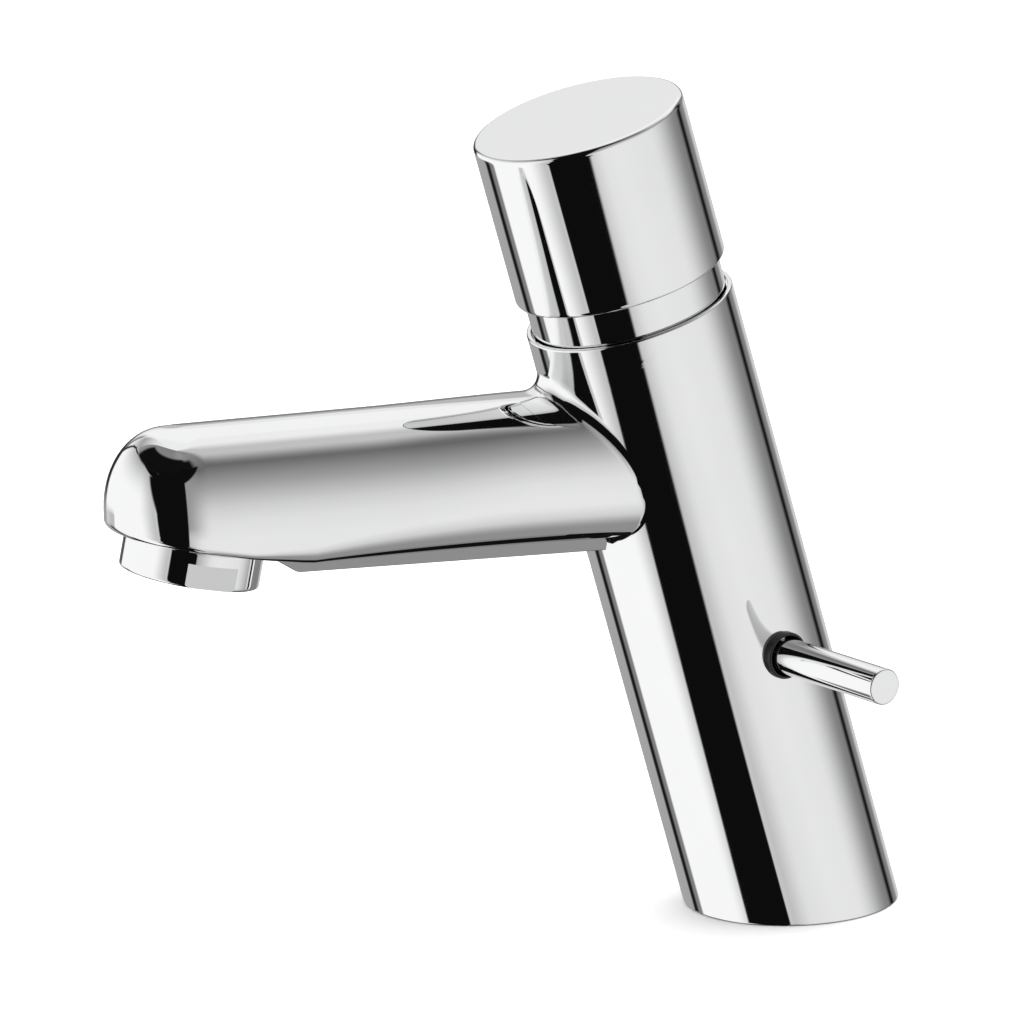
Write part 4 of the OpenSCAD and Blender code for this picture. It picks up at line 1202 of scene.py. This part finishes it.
def card_group():
    """Mask of a light card seen in a direction: 1 on the card, 0 off it, blurred at its edges."""
    tree, given, result = new_group("Light Card", ("Azimuth", "Elevation", *CARD_INPUTS), ["Mask"])
    azimuth, elevation, turn, width, side_blur, height, tall, edge_blur, lean = list(given.outputs)[:9]

    def edge(distance, half, blur):
        span = {"From Min": maths(tree, "SUBTRACT", half, blur), "From Max": maths(tree, "ADD", half, blur)}
        fade = node(
            tree, "ShaderNodeMapRange", {"Value": distance, **span, "To Min": 1.0, "To Max": 0.0},
            interpolation_type="SMOOTHSTEP",
        )
        return fade.outputs["Result"]

    rise = maths(tree, "SUBTRACT", elevation, height)
    middle = maths(tree, "ADD", turn, maths(tree, "MULTIPLY", rise, lean))
    # the difference of two angles, brought between -180 and 180 degrees
    apart = maths(tree, "SUBTRACT", azimuth, middle)
    ahead = maths(tree, "MODULO", maths(tree, "ADD", apart, 540.0), 360.0)
    aside = maths(tree, "ABSOLUTE", maths(tree, "SUBTRACT", ahead, 180.0))
    across = edge(aside, width, side_blur)
    upward = edge(maths(tree, "ABSOLUTE", rise), tall, edge_blur)
    plug(tree, result.inputs["Mask"], maths(tree, "MULTIPLY", across, upward))
    return tree


def make_world():
    """A light tent: cards and dark strips all round for the mirror finish, plain white behind the tap."""
    world = bpy.data.worlds.new("light_tent")
    bpy.context.scene.world = world
    world.use_nodes = True
    tree = world.node_tree
    tree.nodes.clear()
    coordinates = node(tree, "ShaderNodeTexCoord")
    split = node(tree, "ShaderNodeSeparateXYZ", {"Vector": coordinates.outputs["Generated"]}).outputs
    forward = maths(tree, "MULTIPLY", split["Y"], -1.0)
    azimuth = maths(tree, "DEGREES", maths(tree, "ARCTAN2", split["X"], forward))
    elevation = maths(tree, "DEGREES", maths(tree, "ARCSINE", split["Z"]))
    group = card_group()

    def card_mask(shape):
        card = node(tree, "ShaderNodeGroup", node_tree=group)
        seen = {"Azimuth": azimuth, "Elevation": elevation, **dict(zip(CARD_INPUTS, shape))}
        for label, value in seen.items():
            plug(tree, card.inputs[label], value)
        return card.outputs["Mask"]

    share = node(tree, "ShaderNodeMapRange", {"Value": elevation, "From Min": -90.0, "From Max": 90.0})
    sweep = node(tree, "ShaderNodeValToRGB", {"Fac": share.outputs["Result"]})
    stops = sweep.color_ramp.elements
    while len(stops) < len(SWEEP_LEVELS):
        stops.new(0.5)
    for stop, (height, level) in zip(stops, SWEEP_LEVELS):
        stop.position = (height + 90) / 180
        stop.color = (level, level, level, 1.0)
    brightness = mix(tree, "Float", card_mask(SIDE_SWEEP), TENT_LEVEL, sweep.outputs["Color"])
    for _, *shape, level in CARDS:
        brightness = mix(tree, "Float", card_mask(shape), brightness, level)
    tent = node(tree, "ShaderNodeBackground", {"Color": brightness})
    plain = node(tree, "ShaderNodeBackground", {"Color": (1.0, 1.0, 1.0, 1.0)})
    seen = node(tree, "ShaderNodeLightPath").outputs["Is Camera Ray"]
    mixed = node(tree, "ShaderNodeMixShader", {0: seen, 1: tent.outputs[0], 2: plain.outputs[0]})
    node(tree, "ShaderNodeOutputWorld", {"Surface": mixed.outputs[0]})


def make_floor(s):
    """The plain pale floor. It is left out of mirror reflections, as under a tap in a light tent."""
    deselect()
    bpy.ops.mesh.primitive_plane_add(size=s.floor_size, location=(0, 0, -s.floor_drop))
    floor = bpy.context.active_object
    floor.name = floor.data.name = "floor"
    material = bpy.data.materials.new("floor")
    material.use_nodes = True
    surface = material.node_tree.nodes["Principled BSDF"].inputs
    for name, value in (("Base Color", (*s.floor, 1.0)), ("Roughness", 1.0), ("Specular IOR Level", 0.0)):
        surface[name].default_value = value
    wear(floor, material)
    floor.visible_glossy = False


def make_lamp(s):
    """A wide soft lamp that whitens the floor and stays out of mirror reflections."""
    bpy.ops.object.light_add(type="AREA", location=(0, 0, s.lamp_height))
    lamp = bpy.context.active_object
    lamp.name = "floor_lamp"
    lamp.data.shape = "SQUARE"
    lamp.data.size = s.lamp_size
    lamp.data.energy = s.lamp_power
    lamp.visible_glossy = False


def make_camera(s):
    """The camera at the photograph's angle."""
    back = Vector((
        math.cos(s.side) * math.cos(s.height), -math.sin(s.side) * math.cos(s.height), math.sin(s.height),
    ))
    right = Vector((math.sin(s.side), math.cos(s.side), 0.0))
    up = back.cross(right)
    rolled_right = math.cos(s.roll) * right + math.sin(s.roll) * up
    rolled_up = math.cos(s.roll) * up - math.sin(s.roll) * right
    bpy.ops.object.camera_add(location=Vector(s.look_at) + s.distance * back)
    camera = bpy.context.active_object
    camera.matrix_world = (
        Matrix.Translation(camera.location)
        @ Matrix((rolled_right, rolled_up, back)).transposed().to_4x4()
    )
    camera.data.sensor_width = SENSOR_WIDTH
    camera.data.lens = s.lens
    camera.data.clip_end = VIEW_DEPTH
    bpy.context.scene.camera = camera


# Operators


class TapOperator:
    """What every operator of the tap shares."""

    bl_options = {"REGISTER", "UNDO"}

    def execute(self, context):
        scene = context.scene
        self.make(scene.tap_sizes, scene.tap_finishes, scene.tap_stage)
        return {"FINISHED"}


class TAP_OT_casting(TapOperator, bpy.types.Operator):
    """Model the body and spout"""

    bl_idname = "tap.casting"
    bl_label = "Casting"

    def make(self, sizes, finishes, stage):
        piece = make_casting(sizes)
        present(piece, "tap_body", chrome(finishes), ["body"])
        round_normals(piece, sizes)


class TAP_OT_spout_rib(TapOperator, bpy.types.Operator):
    """Model the rib under the spout"""

    bl_idname = "tap.spout_rib"
    bl_label = "Spout Rib"

    def make(self, sizes, finishes, stage):
        present(make_rib(sizes), "tap_body", chrome(finishes))


class TAP_OT_push_cap(TapOperator, bpy.types.Operator):
    """Model the push cap"""

    bl_idname = "tap.push_cap"
    bl_label = "Push Cap"

    def make(self, sizes, finishes, stage):
        present(make_cap(sizes), "push_button", chrome(finishes), ["push_cap"])


class TAP_OT_guide_sleeve(TapOperator, bpy.types.Operator):
    """Model the neck that the cap slides over"""

    bl_idname = "tap.guide_sleeve"
    bl_label = "Guide Sleeve"

    def make(self, sizes, finishes, stage):
        present(make_sleeve(sizes), "tap_body", chrome(finishes), ["guide_sleeve"])


class TAP_OT_return_spring(TapOperator, bpy.types.Operator):
    """Model the return spring"""

    bl_idname = "tap.return_spring"
    bl_label = "Return Spring"

    def make(self, sizes, finishes, stage):
        piece = make_spring(sizes)
        present(piece, "tap_body", steel(finishes), ["return_spring"])
        foot = tube_point(0.0, 0.0, sizes.spring_s)
        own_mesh(piece)


class TAP_OT_lever(TapOperator, bpy.types.Operator):
    """Model the temperature lever"""

    bl_idname = "tap.lever"
    bl_label = "Temperature Lever"

    def make(self, sizes, finishes, stage):
        present(make_lever(sizes), "temperature_lever", chrome(finishes), ["lever"])


class TAP_OT_lever_bush(TapOperator, bpy.types.Operator):
    """Model the lever's black bush"""

    bl_idname = "tap.lever_bush"
    bl_label = "Lever Bush"

    def make(self, sizes, finishes, stage):
        material = plastic("black_plastic", finishes.black_plastic, (0.24, 0.36))
        present(make_bush(sizes), "tap_body", material, ["lever_bush"])


class TAP_OT_aerator(TapOperator, bpy.types.Operator):
    """Model the aerator's housing"""

    bl_idname = "tap.aerator"
    bl_label = "Aerator"

    def make(self, sizes, finishes, stage):
        piece = make_aerator_ring(sizes)
        mark_flats(piece, sizes)
        present(piece, "tap_body", flats_chrome(finishes), ["aerator_housing"])


class TAP_OT_inner_pieces(TapOperator, bpy.types.Operator):
    """Give each CAD piece the finish of its material slot"""

    bl_idname = "tap.inner_pieces"
    bl_label = "Inner Pieces"

    def make(self, sizes, finishes, stage):
        for part in frame["record"]["subparts"]:
            piece = frame["nodes"][part["node"]]
            wear(piece, finish_for_slot(part["material_slot"], finishes))


class TAP_OT_stage(TapOperator, bpy.types.Operator):
    """Set the floor, the light and the camera"""

    bl_idname = "tap.stage"
    bl_label = "Stage"

    def make(self, sizes, finishes, stage):
        make_world()
        make_floor(stage)
        make_lamp(stage)
        make_camera(stage)
        bpy.context.scene.view_settings.view_transform = "Standard"


OPERATORS = (
    TAP_OT_stage,
    TAP_OT_inner_pieces,
    TAP_OT_casting,
    TAP_OT_spout_rib,
    TAP_OT_push_cap,
    TAP_OT_guide_sleeve,
    TAP_OT_return_spring,
    TAP_OT_lever,
    TAP_OT_lever_bush,
    TAP_OT_aerator,
)


class TAP_PT_sidebar(bpy.types.Panel):
    """Lists the tap's operators and settings"""

    bl_label = "Push Tap"
    bl_space_type = "VIEW_3D"
    bl_region_type = "UI"
    bl_category = "Tap"

    def draw(self, context):
        layout = self.layout
        for operator in OPERATORS:
            layout.operator(operator.bl_idname)
        for settings in (context.scene.tap_sizes, context.scene.tap_finishes, context.scene.tap_stage):
            box = layout.box()
            for key in settings.__annotations__:
                box.prop(settings, key)


GROUPS = {"tap_sizes": TapSizes, "tap_finishes": TapFinishes, "tap_stage": TapStage}


def register():
    """Adds the tap's settings, operators and panel."""
    for made in (*GROUPS.values(), *OPERATORS, TAP_PT_sidebar):
        bpy.utils.register_class(made)
    for name, group in GROUPS.items():
        setattr(bpy.types.Scene, name, PointerProperty(type=group))


def unregister():
    """Takes the tap's settings, operators and panel away."""
    for name in GROUPS:
        delattr(bpy.types.Scene, name)
    for made in (TAP_PT_sidebar, *reversed(OPERATORS), *reversed(tuple(GROUPS.values()))):
        bpy.utils.unregister_class(made)


def main():
    """Makes the stage and the pieces in order."""
    register()
    for operator in OPERATORS:
        name = operator.bl_idname.split(".")[1]
        getattr(bpy.ops.tap, name)()


if __name__ == "__main__":
    main()
